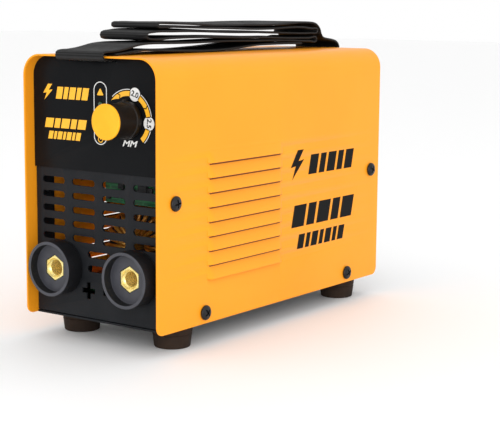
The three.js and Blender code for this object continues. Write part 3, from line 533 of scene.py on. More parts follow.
side_screw_places = {
    name: (case_front + back * MM, case_bottom + up * MM)
    for name, back, up in (
        ("front_upper", 15.7, 73.8),
        ("front_lower", 43.5, 6.7),
        ("rear_upper", 227.4, 73.8),
        ("rear_lower", 198.9, 6.7),
    )
}
front_panel = pressed_pan("pressed_front_panel", front_low, front_high, front_low.y, 1)
punch_from, punch_depth = front_low.y - 2 * MM, 5 * MM
vents = []
for row in range(7):
    columns = (-1.5, -0.5, 0.5, 1.5) if row < 5 else (0,)
    for column in columns:
        place = (column * vent_pitch_x, vent_top - row * vent_pitch_z)
        vents.append(slot_cutter(*place, vent_length, vent_height, punch_from, punch_depth))
punch(front_panel, vents)


def sign_bar(x, width, height):
    z = case_bottom + 17.9 * MM
    return block("sign", (x - width / 2, punch_from, z - height / 2),
                 (x + width / 2, punch_from + punch_depth, z + height / 2))


sign_x, sign_size, sign_bar_width = 8.2 * MM, 10 * MM, 3 * MM
punch(front_panel, [sign_bar(-sign_x, sign_size, sign_bar_width)])
punch(front_panel, [sign_bar(-sign_x, sign_bar_width, sign_size)])
punch(front_panel, [sign_bar(sign_x, sign_size, sign_bar_width)])
socket_hole, bush_hole, lamp_hole = 11.8 * MM, 4.7 * MM, 1.9 * MM


def dial_holes(start, depth):
    """Round punches for the knob's bush and the two lamps."""
    bush = rod("hole", (knob_x, start, knob_z), bush_hole, depth, "Y", 48)
    return [bush] + [rod("hole", (lamp_x, start, z), lamp_hole, depth, "Y", 32) for z in lamp_heights]


round_holes = [
    rod("hole", (side * socket_reach, punch_from, socket_height), socket_hole, punch_depth, "Y", 64)
    for side in (-1, 1)
]
punch(front_panel, round_holes + dial_holes(punch_from, punch_depth))
punch(front_panel, side_screw_holes([side_screw_places["front_upper"]]))
round_edges(front_panel, 0.16 * MM, angle=50)
smooth(front_panel, 30)
fit(front_panel, dark_paint, "grey_paint", "front_panel")

# ---- Front label -------------------------------------------------------------------------------
# A glossy black printed film over the upper part of the front panel, cut to the panel's outline,
# with holes for the knob's bush and for the two lamps.
label_low, label_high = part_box("front_label")
label = arched_plate("front_label_film", label_low, label_high, panel_edge)
label_from, label_through = label_low.y - 1 * MM, 3 * MM
label_holes = dial_holes(label_from, label_through)
label_holes.append(block(
    "notch",
    (strap_middle - strap_width / 2 - notch_slack, label_from, label_high.z - notch_depth),
    (strap_middle + strap_width / 2 + notch_slack, label_from + label_through, label_high.z + 1 * MM),
))
punch(label, label_holes)
round_edges(label, 0.1 * MM, angle=50)
smooth(label, 30)
label_film = blended_finish(
    "black_label_film", 0.32, (0.0055, 0.006, 0.007), (0.007, 0.0075, 0.0085), 30,
    gloss=(0.27, 0.36, 45), grain=(700, 0.08, 0.03 * MM), specular=0.06,
)
fit(label, label_film, "label_film", "front_label")

# ---- Front print -------------------------------------------------------------------------------
# Screen-printed ink on the film: abstract yellow bars, a white frame round the lamps with a symbol
# at each end, and the current dial, whose scale is a tapering yellow band with numbered discs.
ink_thickness = 0.06 * MM


def ink_patch(outline, place, out):
    """A filled outline of (across, up) points, set on a face by place and given a film's depth."""
    deselect()
    bpy.ops.mesh.primitive_circle_add(vertices=len(outline), radius=0.01, fill_type="NGON")
    patch = bpy.context.active_object
    for corner, (across, up) in zip(patch.data.vertices, outline):
        corner.co = place(across, up)
    pick(patch, "FACE", lambda face: True)
    bpy.ops.mesh.extrude_region_move(TRANSFORM_OT_translate={"value": Vector(out) * ink_thickness})
    bpy.ops.mesh.select_all(action="SELECT")
    bpy.ops.mesh.normals_make_consistent(inside=False)
    deselect()
    return patch


def front_place(across, up):
    """Millimetres across from the case's middle and up from its lower edge, on the label."""
    return (across * MM, label_low.y - hair, case_bottom + up * MM)


def front_ink(outline):
    return ink_patch(outline, front_place, (0, -1, 0))


def ring_sector(x, z, inner, outer, start, end, steps=32, taper=0.0, notches=()):
    """A band along a circle, from an angle to another in degrees. A taper narrows its start, and
    a notch is a point in the middle of an end: notches hold the end's angle and the start's."""
    angles = [math.radians(angle) for angle in between(start, end, steps)]
    outside = [(x + outer * math.cos(a), z + outer * math.sin(a)) for a in angles]
    inside = []
    for k, angle in enumerate(angles):
        share = min(1.0, k / steps / taper) if taper else 1.0
        radius = outer - (outer - inner) * share
        inside.append((x + radius * math.cos(angle), z + radius * math.sin(angle)))
    if taper:
        inside[0] = (x + (outer - 0.05) * math.cos(angles[0]), z + (outer - 0.05) * math.sin(angles[0]))
    middle = (outer + inner) / 2
    turns = [math.radians(notch) for notch in notches]
    points = [(x + middle * math.cos(turn), z + middle * math.sin(turn)) for turn in turns]
    return outside + points[:1] + inside[::-1] + points[1:]


def slanted_bar(left, bottom, width, height, slant):
    return [(left, bottom), (left + width, bottom), (left + width + slant, bottom + height),
            (left + slant, bottom + height)]


def bolt_outline(left, bottom, width, height):
    """A lightning bolt, the sign for electric power."""
    shape = [(0.52, 1.0), (0.0, 0.42), (0.38, 0.46), (0.12, 0.0), (1.0, 0.66), (0.58, 0.62), (0.96, 1.0)]
    return [(left + width * across, bottom + height * up) for across, up in shape]


def bar_row(left, bottom, widths, height, slant, space):
    """A row of slanted bars."""
    bars = []
    for width in widths:
        bars.append(slanted_bar(left, bottom, width, height, slant))
        left += width + space
    return bars


yellow_outlines = [bolt_outline(-41.5, 128.2, 7.5, 9.4)]
yellow_outlines += bar_row(-31.5, 129.2, (4.6, 3.2, 4.6, 3.2, 4.6), 7, 1.5, 1.1)
yellow_outlines += bar_row(-40.5, 112.2, (6.2, 4.2, 6.2, 4.2, 6.2), 5.6, 1.3, 1.2)
yellow_outlines += bar_row(-38, 105.6, (3.4, 2, 3.4, 2, 3.4, 2, 3.4), 4.6, 1.2, 0.9)
dial_x, dial_z = knob_x / MM, (knob_z - case_bottom) / MM
yellow_outlines.append(ring_sector(dial_x, dial_z, 13.4, 16.2, 140, 119, taper=0.9, notches=(115,)))
yellow_outlines.append(ring_sector(dial_x, dial_z, 13.4, 16.2, 116, 83, notches=(83, 112)))
yellow_outlines.append(ring_sector(dial_x, dial_z, 13.4, 16.2, 59, 33, notches=(29, 59)))
yellow_outlines.append(ring_sector(dial_x, dial_z, 13.4, 16.2, 30, 7, notches=(7, 26)))
yellow_outlines.append(ring_sector(dial_x, dial_z, 13.4, 16.2, -17, -48))
lamp_column = lamp_x / MM
warning_z, thermal_z = 134.2, 107.6
yellow_outlines.append([
    (lamp_column - 2.1, warning_z - 1.6), (lamp_column + 2.1, warning_z - 1.6),
    (lamp_column + 2.3, warning_z - 1.1), (lamp_column + 0.35, warning_z + 2.1),
    (lamp_column - 0.35, warning_z + 2.1), (lamp_column - 2.3, warning_z - 1.1),
])
yellow_outlines.append(ring_sector(lamp_column, thermal_z, 1.4, 1.95, -240, 60))
yellow_outlines.append([
    (lamp_column - 0.3, thermal_z - 0.2), (lamp_column + 0.3, thermal_z - 0.2),
    (lamp_column + 0.3, thermal_z + 2.3), (lamp_column - 0.3, thermal_z + 2.3),
])
yellow_print = join_as("front_yellow_print", [front_ink(outline) for outline in yellow_outlines])


def flat_ink(name, colour, roughness=0.45):
    ink, tree, shader = new_finish(name, roughness)
    deeper = [channel * 0.93 for channel in colour]
    drift_colour(tree, shader, deeper, colour, mottle(tree, 160))
    return ink


yellow_ink = flat_ink("yellow_ink", (1.0, 0.5, 0.02))
fit(yellow_print, yellow_ink, "label_film")


def stadium_ring(x, z, width, height, line, steps=16):
    """The outline of an upright round-ended frame, as the two halves of its line."""
    reach = (height - width) / 2
    halves = []
    for first in (0, math.pi):
        outer, inner = [], []
        for k in range(steps + 1):
            angle = first - math.pi / 2 + math.pi * k / steps
            sign = 1 if first == 0 else -1
            for ring, radius in ((outer, width / 2), (inner, width / 2 - line)):
                up = reach if math.sin(angle) > 0 else -reach
                ring.append((x + radius * abs(math.cos(angle)) * sign, z + radius * math.sin(angle) + up))
        halves.append(outer + inner[::-1])
    return halves


white_outlines = stadium_ring(lamp_column, 122.4, 10, 36, 0.5)
white_outlines.append(ring_sector(dial_x, dial_z, 16.9, 17.3, 133, 85))
white_outlines.append(ring_sector(dial_x, dial_z, 16.9, 17.3, 57, 9))
white_outlines.append(ring_sector(dial_x, dial_z, 16.9, 17.3, -19, -46))
disc_radius, disc_reach = 3.85, 15.2
disc_angles = {"2.0": 71, "2.5": -5}
for angle in disc_angles.values():
    x = dial_x + disc_reach * math.cos(math.radians(angle))
    z = dial_z + disc_reach * math.sin(math.radians(angle))
    white_outlines.append([
        (x + disc_radius * math.cos(math.tau * k / 40), z + disc_radius * math.sin(math.tau * k / 40))
        for k in range(40)
    ])


def set_words(words, size, boldness, slant, x, z, lean, proud, breadth=1.0):
    """Dial lettering: a text object made into a mesh, centred on a place and turned by lean."""
    deselect()
    bpy.ops.object.text_add()
    text = bpy.context.active_object
    text.data.body = words
    text.data.size = size * MM
    text.data.offset = boldness * MM
    text.data.shear = slant
    text.data.align_x = "CENTER"
    text.data.align_y = "CENTER"
    text.data.extrude = ink_thickness / 2
    text.data.resolution_u = 3
    bpy.ops.object.convert(target="MESH")
    letters = bpy.context.active_object
    stand = Matrix.Rotation(math.pi / 2, 4, "X")
    place = Vector(front_place(x, z)) + Vector((0, -ink_thickness / 2 - proud, 0))
    spread = Matrix.Rotation(lean, 4, "Z") @ Matrix.Scale(breadth, 4, (1, 0, 0))
    letters.data.transform(Matrix.Translation(place) @ stand @ spread)
    return letters


white_pieces = [front_ink(outline) for outline in white_outlines]
white_pieces.append(set_words("MM", 4.9, 0.1, 0.3, 24.4, 106.3, 0, 0, 1.35))
white_print = join_as("front_white_print", white_pieces)
fit(white_print, flat_ink("white_ink", (0.82, 0.82, 0.8)), "label_film")

figures = []
for words, angle in disc_angles.items():
    turn = math.radians(angle)
    figures.append(set_words(
        words, 4.4, 0.1, 0,
        dial_x + disc_reach * math.cos(turn), dial_z + disc_reach * math.sin(turn),
        turn - math.pi / 2, ink_thickness,
    ))
dial_figures = join_as("dial_figures", figures)
black_ink = flat_ink("black_ink", (0.0012, 0.0012, 0.0012), 0.5)
black_ink.node_tree.nodes["Principled BSDF"].inputs["Specular IOR Level"].default_value = 0.1
fit(dial_figures, black_ink, "label_film")

# ---- Side print --------------------------------------------------------------------------------
# Black screen print on both sides of the cover, behind the louvres: a lightning bolt and three
# rows of abstract slanted bars.


def side_ink(outline, side):
    def place(across, up):
        return (side * (case_half + hair), case_front + across * MM, case_bottom + up * MM)
    if side < 0:
        middle = 2 * 173.5
        outline = [(middle - across, up) for across, up in outline]
    return ink_patch(outline, place, (side, 0, 0))


side_outlines = [bolt_outline(131, 75.5, 15, 18.5)]
side_outlines += bar_row(151, 77.5, (9.5, 6.5, 9.5, 6.5, 9.5), 12.5, 3, 2.6)
side_outlines += bar_row(132.5, 45, (14, 9, 14, 9, 14), 14, 3.4, 2.8)
side_outlines += bar_row(139, 30.8, (7, 4.4, 7, 4.4, 7, 4.4, 7), 9.2, 2.4, 2.2)
for side, word in ((1, "right"), (-1, "left")):
    side_print = join_as(word + "_side_print", [side_ink(outline, side) for outline in side_outlines])
    fit(side_print, black_ink, "label_film")

# ---- Cover screws ------------------------------------------------------------------------------
# Eight black M4 pan-head screws with cross recesses hold the cover to the panels and the tray.


def turned(name, profile, steps=64):
    """A turned piece: an outline of (radius, height) points in millimetres, spun about Z."""
    deselect()
    bpy.ops.mesh.primitive_circle_add(vertices=len(profile), radius=1)
    piece = bpy.context.active_object
    piece.name = piece.data.name = name
    for corner, (radius, height) in zip(piece.data.vertices, profile):
        corner.co = (radius * MM, 0, height * MM)
    pick(piece, "EDGE", lambda edge: max(corner.co.x for corner in edge.verts) > 0.001 * MM)
    bpy.ops.mesh.spin(steps=steps, angle=math.tau, center=(0, 0, 0), axis=(0, 0, 1))
    bpy.ops.mesh.select_all(action="SELECT")
    bpy.ops.mesh.remove_doubles(threshold=0.000002)
    bpy.ops.mesh.select_all(action="SELECT")
    bpy.ops.mesh.delete_loose()
    deselect()
    close_up(piece)
    return piece


def arc_points(x, y, radius_x, radius_y, start, end, steps):
    """Points of a quarter or half ellipse for a turned outline, with its angles in degrees."""
    return [
        (x + radius_x * math.cos(math.radians(a)), y + radius_y * math.sin(math.radians(a)))
        for a in between(start, end, steps)
    ]


def cross_screw(name, shank):
    """A pan-head screw that points up Z, with its head's seat at the origin and a thread below."""
    thread = []
    turns = round(shank / 0.7) - 1
    for k in range(turns):
        depth = -shank + 0.6 + k * 0.7
        thread += [(1.7, depth), (2.0, depth + 0.35)]
    profile = [(0, -shank), (1.4, -shank)] + thread
    profile += [(1.7, -0.3), (1.9, 0), (4.2, 0), (4.4, 0.2), (4.4, 0.7)]
    profile += arc_points(0, 0.7, 4.4, 1.7, 8, 90, 9)
    screw = turned(name, profile, 40)
    across = block("slot", (-2.6 * MM, -0.5 * MM, 1.0 * MM), (2.6 * MM, 0.5 * MM, 4 * MM))
    along = block("slot", (-0.5 * MM, -2.6 * MM, 1.0 * MM), (0.5 * MM, 2.6 * MM, 4 * MM))
    punch(screw, [across])
    punch(screw, [along])
    smooth(screw, 35)
    return screw


def set_copy(source, name, matrix):
    """A copy of a piece with its own mesh, carried to its place by a matrix."""
    piece = source.copy()
    piece.data = source.data.copy()
    scene.collection.objects.link(piece)
    piece.name = piece.data.name = name
    piece.data.transform(matrix)
    return piece


face_front = Matrix.Rotation(math.pi / 2, 4, "X")
face_rear = Matrix.Rotation(-math.pi / 2, 4, "X")
face_right = Matrix.Rotation(math.pi / 2, 4, "Y")
face_left = Matrix.Rotation(-math.pi / 2, 4, "Y")
black_oxide = blended_finish(
    "black_screw_steel", 0.35, (0.012, 0.012, 0.014), (0.022, 0.022, 0.025), 400,
    gloss=(0.28, 0.45, 600), metallic=0.55,
)
cover_screw = cross_screw("cover_screw", 6)
for side, word, turn in ((-1, "left", face_left), (1, "right", face_right)):
    for name, (y, z) in side_screw_places.items():
        place = Matrix.Translation((side * (case_half + 0.3 * MM), y, z))
        spin = Matrix.Rotation(math.radians({"front_upper": 8, "front_lower": 40, "rear_upper": 63,
                                             "rear_lower": 25}[name]), 4, "Z")
        screw = set_copy(cover_screw, f"pan_screw_{word}_{name}", place @ turn @ spin)
        fit(screw, black_oxide, "black_screw", f"cover_screw_{word}_{name}")
bpy.data.objects.remove(cover_screw, do_unlink=True)

# ---- Feet --------------------------------------------------------------------------------------
# Four moulded rubber feet, tapered, with a groove round the middle and a zinc-plated screw up the
# middle of each that runs through the tray.
rubber = blended_finish(
    "brown_black_rubber", 0.8, (0.021, 0.012, 0.008), (0.034, 0.02, 0.013), 90,
    gloss=(0.7, 0.9, 250), grain=(1600, 0.35, 0.06 * MM), specular=0.2,
)
zinc = blended_finish(
    "zinc_plated_steel", 0.32, (0.5, 0.52, 0.55), (0.62, 0.62, 0.6), 180,
    gloss=(0.25, 0.42, 500), metallic=1.0,
)
foot_profile = [(2.3, 12.7), (11.2, 12.7)] + arc_points(11.2, 11.9, 0.8, 0.8, 90, 0, 4)
foot_profile += [(11.65, 8.6), (11.3, 8.35), (11.25, 7.9), (11.55, 7.6), (10.75, 1.2)]
foot_profile += arc_points(9.85, 0.9, 0.9, 0.9, 0, -90, 4) + [(6, 0)]
foot_profile += arc_points(5.9, 0.5, 0.7, 0.5, -90, -180, 3) + [(5.2, 6), (2.3, 6)]
foot = turned("foot", foot_profile, 64)
smooth(foot, 40)
foot_screw = cross_screw("foot_screw", 9.5)
for end in ("front", "rear"):
    for word in ("left", "right"):
        low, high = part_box(f"foot_{end}_{word}")
        place = Matrix.Translation(((low.x + high.x) / 2, (low.y + high.y) / 2, 0))
        rubber_foot = set_copy(foot, f"rubber_foot_{end}_{word}", place)
        fit(rubber_foot, rubber, "foot_rubber", f"foot_{end}_{word}")
        lift = Matrix.Translation((0, 0, 5.7 * MM)) @ Matrix.Rotation(math.pi, 4, "X")
        screw = set_copy(foot_screw, f"steel_foot_screw_{end}_{word}", place @ lift)
        fit(screw, zinc, "zinc_steel", f"foot_screw_{end}_{word}")
bpy.data.objects.remove(foot, do_unlink=True)
bpy.data.objects.remove(foot_screw, do_unlink=True)

# ---- Cable sockets -----------------------------------------------------------------------------
# Two moulded black collars, each with a neck through the panel, a thin rim and a sunk floor round a
# hexagonal brass contact. A plastic nut behind the panel holds each, and a bolt and a bent copper
# bar carry its current to the power board.


def hex_rod(name, across_flats, low, high):
    """A hexagonal bar up Z with a corner along +Y, between two heights in millimetres."""
    deselect()
    bpy.ops.mesh.primitive_cylinder_add(
        vertices=6, radius=across_flats / math.sqrt(3) * MM, depth=(high - low) * MM,
        location=(0, 0, (high + low) / 2 * MM),
    )
    bpy.ops.object.transform_apply(location=True, rotation=True, scale=True)
    piece = bpy.context.active_object
    piece.name = piece.data.name = name
    return piece


moulded_black = blended_finish(
    "moulded_black_plastic", 0.5, (0.007, 0.0072, 0.0085), (0.01, 0.0103, 0.012), 120,
    gloss=(0.42, 0.56, 260), grain=(2200, 0.25, 0.04 * MM), specular=0.25,
)
collar_profile = [(0, 6.5), (13.6, 6.5)] + arc_points(13.9, 6.8, 0.3, 0.3, -90, 0, 2)
collar_profile += arc_points(14.7, 11.6, 0.4, 0.4, 180, 90, 3)
collar_profile += arc_points(15.75, 11.45, 0.55, 0.55, 90, 0, 4)
collar_profile += [(16.3, 1.0), (16.0, 0.3), (11.5, 0.3)]
thread_pitch = 1.7
for k in range(7):
    down = k * thread_pitch
    collar_profile += [(11.5, -1.9 - down), (11.1, -2.5 - down), (11.1, -2.9 - down), (11.5, -3.5 - down)]
collar_profile += [(11.5, -13.6), (11.1, -14), (0, -14)]
collar = turned("collar", collar_profile, 96)
punch(collar, [hex_rod("hollow", 13.8, -16, 10)])
smooth(collar, 35)
# A lighter grey of the same plastic, painted light for the collars' front faces.
lit_face_grey = blended_finish(
    "painted_light_grey_plastic", 0.5, (0.04, 0.041, 0.051), (0.052, 0.053, 0.065), 120,
    gloss=(0.42, 0.56, 260), grain=(2200, 0.25, 0.04 * MM),
)
# Painted light: faces that look to the front, the rim and the floor, get a lighter grey, as if lit from the
# front.
for face in collar.data.polygons:
    face.material_index = 1 if face.normal.z > 0.6 else 0
brass = blended_finish(
    "machined_brass", 0.26, (1.0, 0.78, 0.26), (1.0, 0.86, 0.36), 300,
    gloss=(0.2, 0.36, 700), metallic=0.6,
)
contact = hex_rod("contact", 13.2, -15, 6.5)
round_edges(contact, 0.25 * MM, angle=50)
pick(contact, "FACE", lambda face: face.normal.z > 0.99 and face.calc_area() > 50 * MM * MM)
bpy.ops.mesh.inset(thickness=1.1 * MM)
bpy.ops.mesh.extrude_region_move(TRANSFORM_OT_translate={"value": (0, 0, -0.5 * MM)})
deselect()
bore_profile = [(0, 9), (7, 9), (5.9, 6.6), (5.3, 5.6), (4.5, 4.9), (4.5, -13.5), (0, -13.5)]
punch(contact, [turned("bore", bore_profile, 48)])
punch(contact, [turned("bolt_hole", [(0, -12), (3.3, -12), (3.3, -17), (0, -17)], 32)])
smooth(contact, 30)
copper = blended_finish(
    "copper_bar", 0.34, (0.72, 0.3, 0.13), (0.85, 0.4, 0.2), 200,
    gloss=(0.28, 0.45, 420), metallic=1.0,
)
for side, word in ((-1, "positive"), (1, "negative")):
    seat = Matrix.Translation((side * socket_reach, front_low.y, socket_height))
    body = set_copy(collar, f"moulded_socket_{word}", seat @ face_front)
    fit(body, moulded_black, "black_plastic", f"socket_{word}")
    body.data.materials.append(lit_face_grey)
    metal = set_copy(contact, f"brass_contact_{word}", seat @ face_front)
    fit(metal, brass, "brass", f"socket_contact_{word}")
    for node, finish, slot, edge in (
        (f"socket_nut_{word}", moulded_black, "black_plastic", 0.5),
        (f"busbar_{word}", copper, "copper", 0.3),
        (f"busbar_bolt_{word}", zinc, "zinc_steel", 0.25),
    ):
        piece = refine(node, f"fitted_{node}", edge * MM, 50)
        fit(piece, finish, slot, node)
bpy.data.objects.remove(collar, do_unlink=True)
bpy.data.objects.remove(contact, do_unlink=True)

# ---- Current knob ------------------------------------------------------------------------------
# A dark moulded knob with a skirt and a small pointer, and a yellow cap pressed into its face. It
# turns on the potentiometer's shaft, and the nut under it holds the bush to the panel.
knob_plastic = blended_finish(
    "dark_brown_plastic", 0.4, (0.008, 0.006, 0.005), (0.012, 0.009, 0.0075), 150,
    gloss=(0.34, 0.46, 300), grain=(1800, 0.12, 0.03 * MM), specular=0.25,
)
knob_profile = [(3.3, 5.1), (7.4, 5.1), (7.4, 1.5), (10.3, 1.5)]
knob_profile += arc_points(10.35, 1.95, 0.45, 0.45, -90, 0, 3)
knob_profile += arc_points(10.35, 4.6, 0.45, 0.45, 0, 90, 3) + [(10.05, 5.2), (9.9, 5.6)]
knob_profile += [(9.65, 17.6)] + arc_points(9.2, 18.2, 0.4, 0.4, 0, 90, 3)
knob_profile += [(6.3, 18.6), (6.3, 16.2), (0, 16.2), (0, 14.2), (3.3, 14.2)]
knob = turned("fluteless_knob", knob_profile, 96)
pointer = block("pointer", (-0.8 * MM, 9.2 * MM, 1.7 * MM), (0.8 * MM, 11.7 * MM, 5.4 * MM))
round_edges(pointer, 0.35 * MM, 40, 3)
punch(knob, [pointer], "UNION")
smooth(knob, 35)
knob.data.transform(Matrix.Translation((knob_x, front_low.y, knob_z)) @ face_front)
knob.name = knob.data.name = "moulded_knob"
fit(knob, knob_plastic, "knob_plastic", "current_knob", "knob")

yellow_plastic = blended_finish(
    "yellow_cap_plastic", 0.42, (0.97, 0.43, 0.012), (1.0, 0.46, 0.016), 140,
    gloss=(0.36, 0.46, 260), grain=(1800, 0.12, 0.03 * MM), specular=0.25,
)
cap_profile = [(0, 16.5), (6, 16.5), (6, 18.9), (9.7, 18.9)] + arc_points(9.7, 19.3, 0.4, 0.4, -90, 0, 3)
cap_profile += arc_points(9.5, 19.9, 0.6, 0.6, 0, 90, 5) + [(8.3, 20.5), (5, 20.42), (0, 20.4)]
cap = turned("cap", cap_profile, 96)
smooth(cap, 35)
cap.data.transform(Matrix.Translation((knob_x, front_low.y, knob_z)) @ face_front)
cap.name = cap.data.name = "yellow_knob_cap"
fit(cap, yellow_plastic, "yellow_plastic", "knob_cap", "knob")

turned_aluminium = blended_finish(
    "turned_aluminium", 0.36, (0.56, 0.57, 0.59), (0.66, 0.66, 0.67), 120,
    gloss=(0.3, 0.46, 350), metallic=1.0,
)
for node, finish, slot, body, edge in (
    ("potentiometer_shaft", turned_aluminium, "aluminium", "knob", 0.3),
    ("potentiometer", turned_aluminium, "aluminium", "case", 0.3),
    ("potentiometer_nut", zinc, "zinc_steel", "case", 0.2),
):
    piece = refine(node, f"fitted_{node}", edge * MM, 50)
    fit(piece, finish, slot, node, body)

# ---- Indicator lamps ---------------------------------------------------------------------------
# Two clear plastic lenses in the film, green for power and amber for overheating, each with a light
# pipe back to its diode on the control board.
lamp_colours = {"power_lamp": (0.008, 0.05, 0.014), "alarm_lamp": (0.16, 0.05, 0.006)}
lamp_slots = {"power_lamp": "lamp_green", "alarm_lamp": "lamp_amber"}
for node, colour in lamp_colours.items():
    low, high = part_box(node)
    length = (high.y - low.y) / MM
    lens_profile = [(0, 0), (1.6, 0), (1.6, length - 0.9)]
    lens_profile += arc_points(0, length - 0.9, 1.6, 0.9, 10, 90, 8)
    lens = turned("lens", lens_profile, 40)
    smooth(lens, 40)
    place = Matrix.Translation(((low.x + high.x) / 2, high.y, (low.z + high.z) / 2))
    lens.data.transform(place @ face_front)
    lens.name = lens.data.name = node + "_lens"
    lens_plastic, tree, shader = new_finish(node + "_plastic", 0.18)
    drift_colour(tree, shader, [0.8 * channel for channel in colour], colour, mottle(tree, 700))
    shader.inputs["Coat Weight"].default_value = 0.6
    shader.inputs["Coat Roughness"].default_value = 0.08
    fit(lens, lens_plastic, lamp_slots[node], node)

# ---- Boards ------------------------------------------------------------------------------------
# Two glass-fibre circuit boards with a green solder mask: the control board stands behind the dial
# and the power board lies along the floor on four posts. Small parts are soldered to both.
board_green, tree, shader = new_finish("green_solder_mask", 0.38)
track = tree.nodes.new("ShaderNodeTexBrick")
track.offset = 0.37
track.inputs["Scale"].default_value = 60
track.inputs["Mortar Size"].default_value = 0.035
track.inputs["Brick Width"].default_value = 0.9
track.inputs["Row Height"].default_value = 0.16
track.inputs["Color1"].default_value = (0.008, 0.085, 0.03, 1)
track.inputs["Color2"].default_value = (0.011, 0.12, 0.042, 1)
track.inputs["Mortar"].default_value = (0.03, 0.2, 0.075, 1)
stand_up = tree.nodes.new("ShaderNodeMapping")
stand_up.inputs["Rotation"].default_value = (math.pi / 2, 0, 0)
tree.links.new(object_place(tree), stand_up.inputs["Vector"])
tree.links.new(stand_up.outputs["Vector"], track.inputs["Vector"])
tree.links.new(track.outputs["Color"], shader.inputs["Base Color"])
vary_gloss(tree, shader, 0.3, 0.45, mottle(tree, 200))
control_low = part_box("control_board")[0]
power_low, power_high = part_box("power_board")
random.seed(20)


def chips(name, low, high, out, count, height):
    """Small rounded blocks scattered over a board's face, each as if soldered on."""
    blocks = []
    for _ in range(count):
        wide, tall = random.uniform(2.5, 8) * MM, random.uniform(2, 6) * MM
        thick = random.uniform(0.5, 1) * height
        across = random.uniform(low[0] + wide, high[0] - wide)
        up = random.uniform(low[1] + tall, high[1] - tall)
        if out == "front":
            corner = (across - wide / 2, control_low.y - thick, up - tall / 2)
            piece = block("chip", corner, (across + wide / 2, control_low.y + 0.1 * MM, up + tall / 2))
        else:
            corner = (across - wide / 2, up - tall / 2, power_high.z - 0.1 * MM)
            piece = block("chip", corner, (across + wide / 2, up + tall / 2, power_high.z + thick))
        blocks.append(piece)
    joined = join_as(name, blocks)
    round_edges(joined, 0.25 * MM)
    smooth(joined, 30)
    return joined


for node, edge in (("control_board", 0.2), ("power_board", 0.2)):
    board = refine(node, "fitted_" + node, edge * MM, 50)
    fit(board, board_green, "board_green", node)
chip_resin = blended_finish(
    "black_chip_resin", 0.55, (0.012, 0.012, 0.013), (0.03, 0.03, 0.032), 260,
)
control_chips = chips(
    "control_board_chips", (control_low.x, control_low.z), (lamp_x - 4 * MM + 50 * MM, 120 * MM),
    "front", 22, 2.6 * MM,
)
power_chips = chips(
    "power_board_chips", (power_low.x + 3 * MM, 66 * MM - 90 * MM), (8 * MM, 10 * MM), "up", 5, 5 * MM,
)
for piece in (control_chips, power_chips):
    fit(piece, chip_resin, "board_green")

# ---- Heatsinks ---------------------------------------------------------------------------------
# Two extruded aluminium heatsinks with rows of fins, which stand on the power board in the fan's
# draught.
for side in ("left", "right"):
    sink = refine(f"heatsink_{side}", f"finned_heatsink_{side}", 0.25 * MM, 50)
    fit(sink, turned_aluminium, "aluminium", f"heatsink_{side}")

# ---- Output choke ------------------------------------------------------------------------------
# A ferrite ring that stands on edge just behind the vents, wound with thick enamelled copper wire.


def wire(name, points, radius, closed=False, sides=2):
    """A round wire bent through points: a curve with a round section, made into a mesh."""
    path = bpy.data.curves.new(name, "CURVE")
    path.dimensions = "3D"
    spline = path.splines.new("POLY")
    spline.points.add(len(points) - 1)
    for point, place in zip(spline.points, points):
        point.co = (*place, 1)
    spline.use_cyclic_u = closed
    path.bevel_depth = radius
    path.bevel_resolution = sides
    path.use_fill_caps = not closed
    piece = bpy.data.objects.new(name, path)
    scene.collection.objects.link(piece)
    focus(piece)
    bpy.ops.object.convert(target="MESH")
    piece = bpy.context.active_object
    piece.name = piece.data.name = name
    smooth(piece, 60)
    return piece


ferrite = blended_finish(
    "dark_ferrite", 0.62, (0.02, 0.021, 0.024), (0.035, 0.036, 0.04), 150,
    grain=(900, 0.3, 0.05 * MM),
)
enamel, tree, shader = new_finish("enamelled_copper_wire", 0.3, 0.55)
drift_colour(tree, shader, (0.62, 0.25, 0.03), (0.85, 0.42, 0.06), mottle(tree, 90))
vary_gloss(tree, shader, 0.22, 0.38, mottle(tree, 400))
shader.inputs["Coat Weight"].default_value = 0.5
shader.inputs["Coat Roughness"].default_value = 0.15
choke_low, choke_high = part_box("choke_winding")
choke_middle = (choke_low + choke_high) / 2
ring_outer, ring_inner, ring_half = 22.7 * MM, 9 * MM, 8 * MM
choke_core = refine("choke_core", "ferrite_ring", 0.8 * MM, 50, 3)
fit(choke_core, ferrite, "ferrite", "choke_core")
wire_radius = 1.35 * MM
choke_turns, turn_steps = 26, 16
ring_middle = (ring_outer + ring_inner) / 2
choke_points = []
for k in range(choke_turns * turn_steps):
    share = k / turn_steps
    angle = math.radians(-75) - math.radians(330) * share / choke_turns
    turn = math.tau * share
    swing, lift = math.cos(turn), math.sin(turn)
    square = (abs(swing) ** 6 + abs(lift) ** 6) ** (-1 / 6)
    reach = ring_middle + ((ring_outer - ring_inner) / 2 + wire_radius + 0.2 * MM) * swing * square
    depth = (ring_half + wire_radius + 0.2 * MM) * lift * square
    lean = angle + math.radians(5) * lift
    choke_points.append((
        choke_middle.x + reach * math.cos(lean),
        choke_middle.y + depth,
        choke_middle.z + reach * math.sin(lean),
    ))
choke_wire = wire("choke_wire_winding", choke_points, wire_radius)
fit(choke_wire, enamel, "enamelled_wire", "choke_winding")

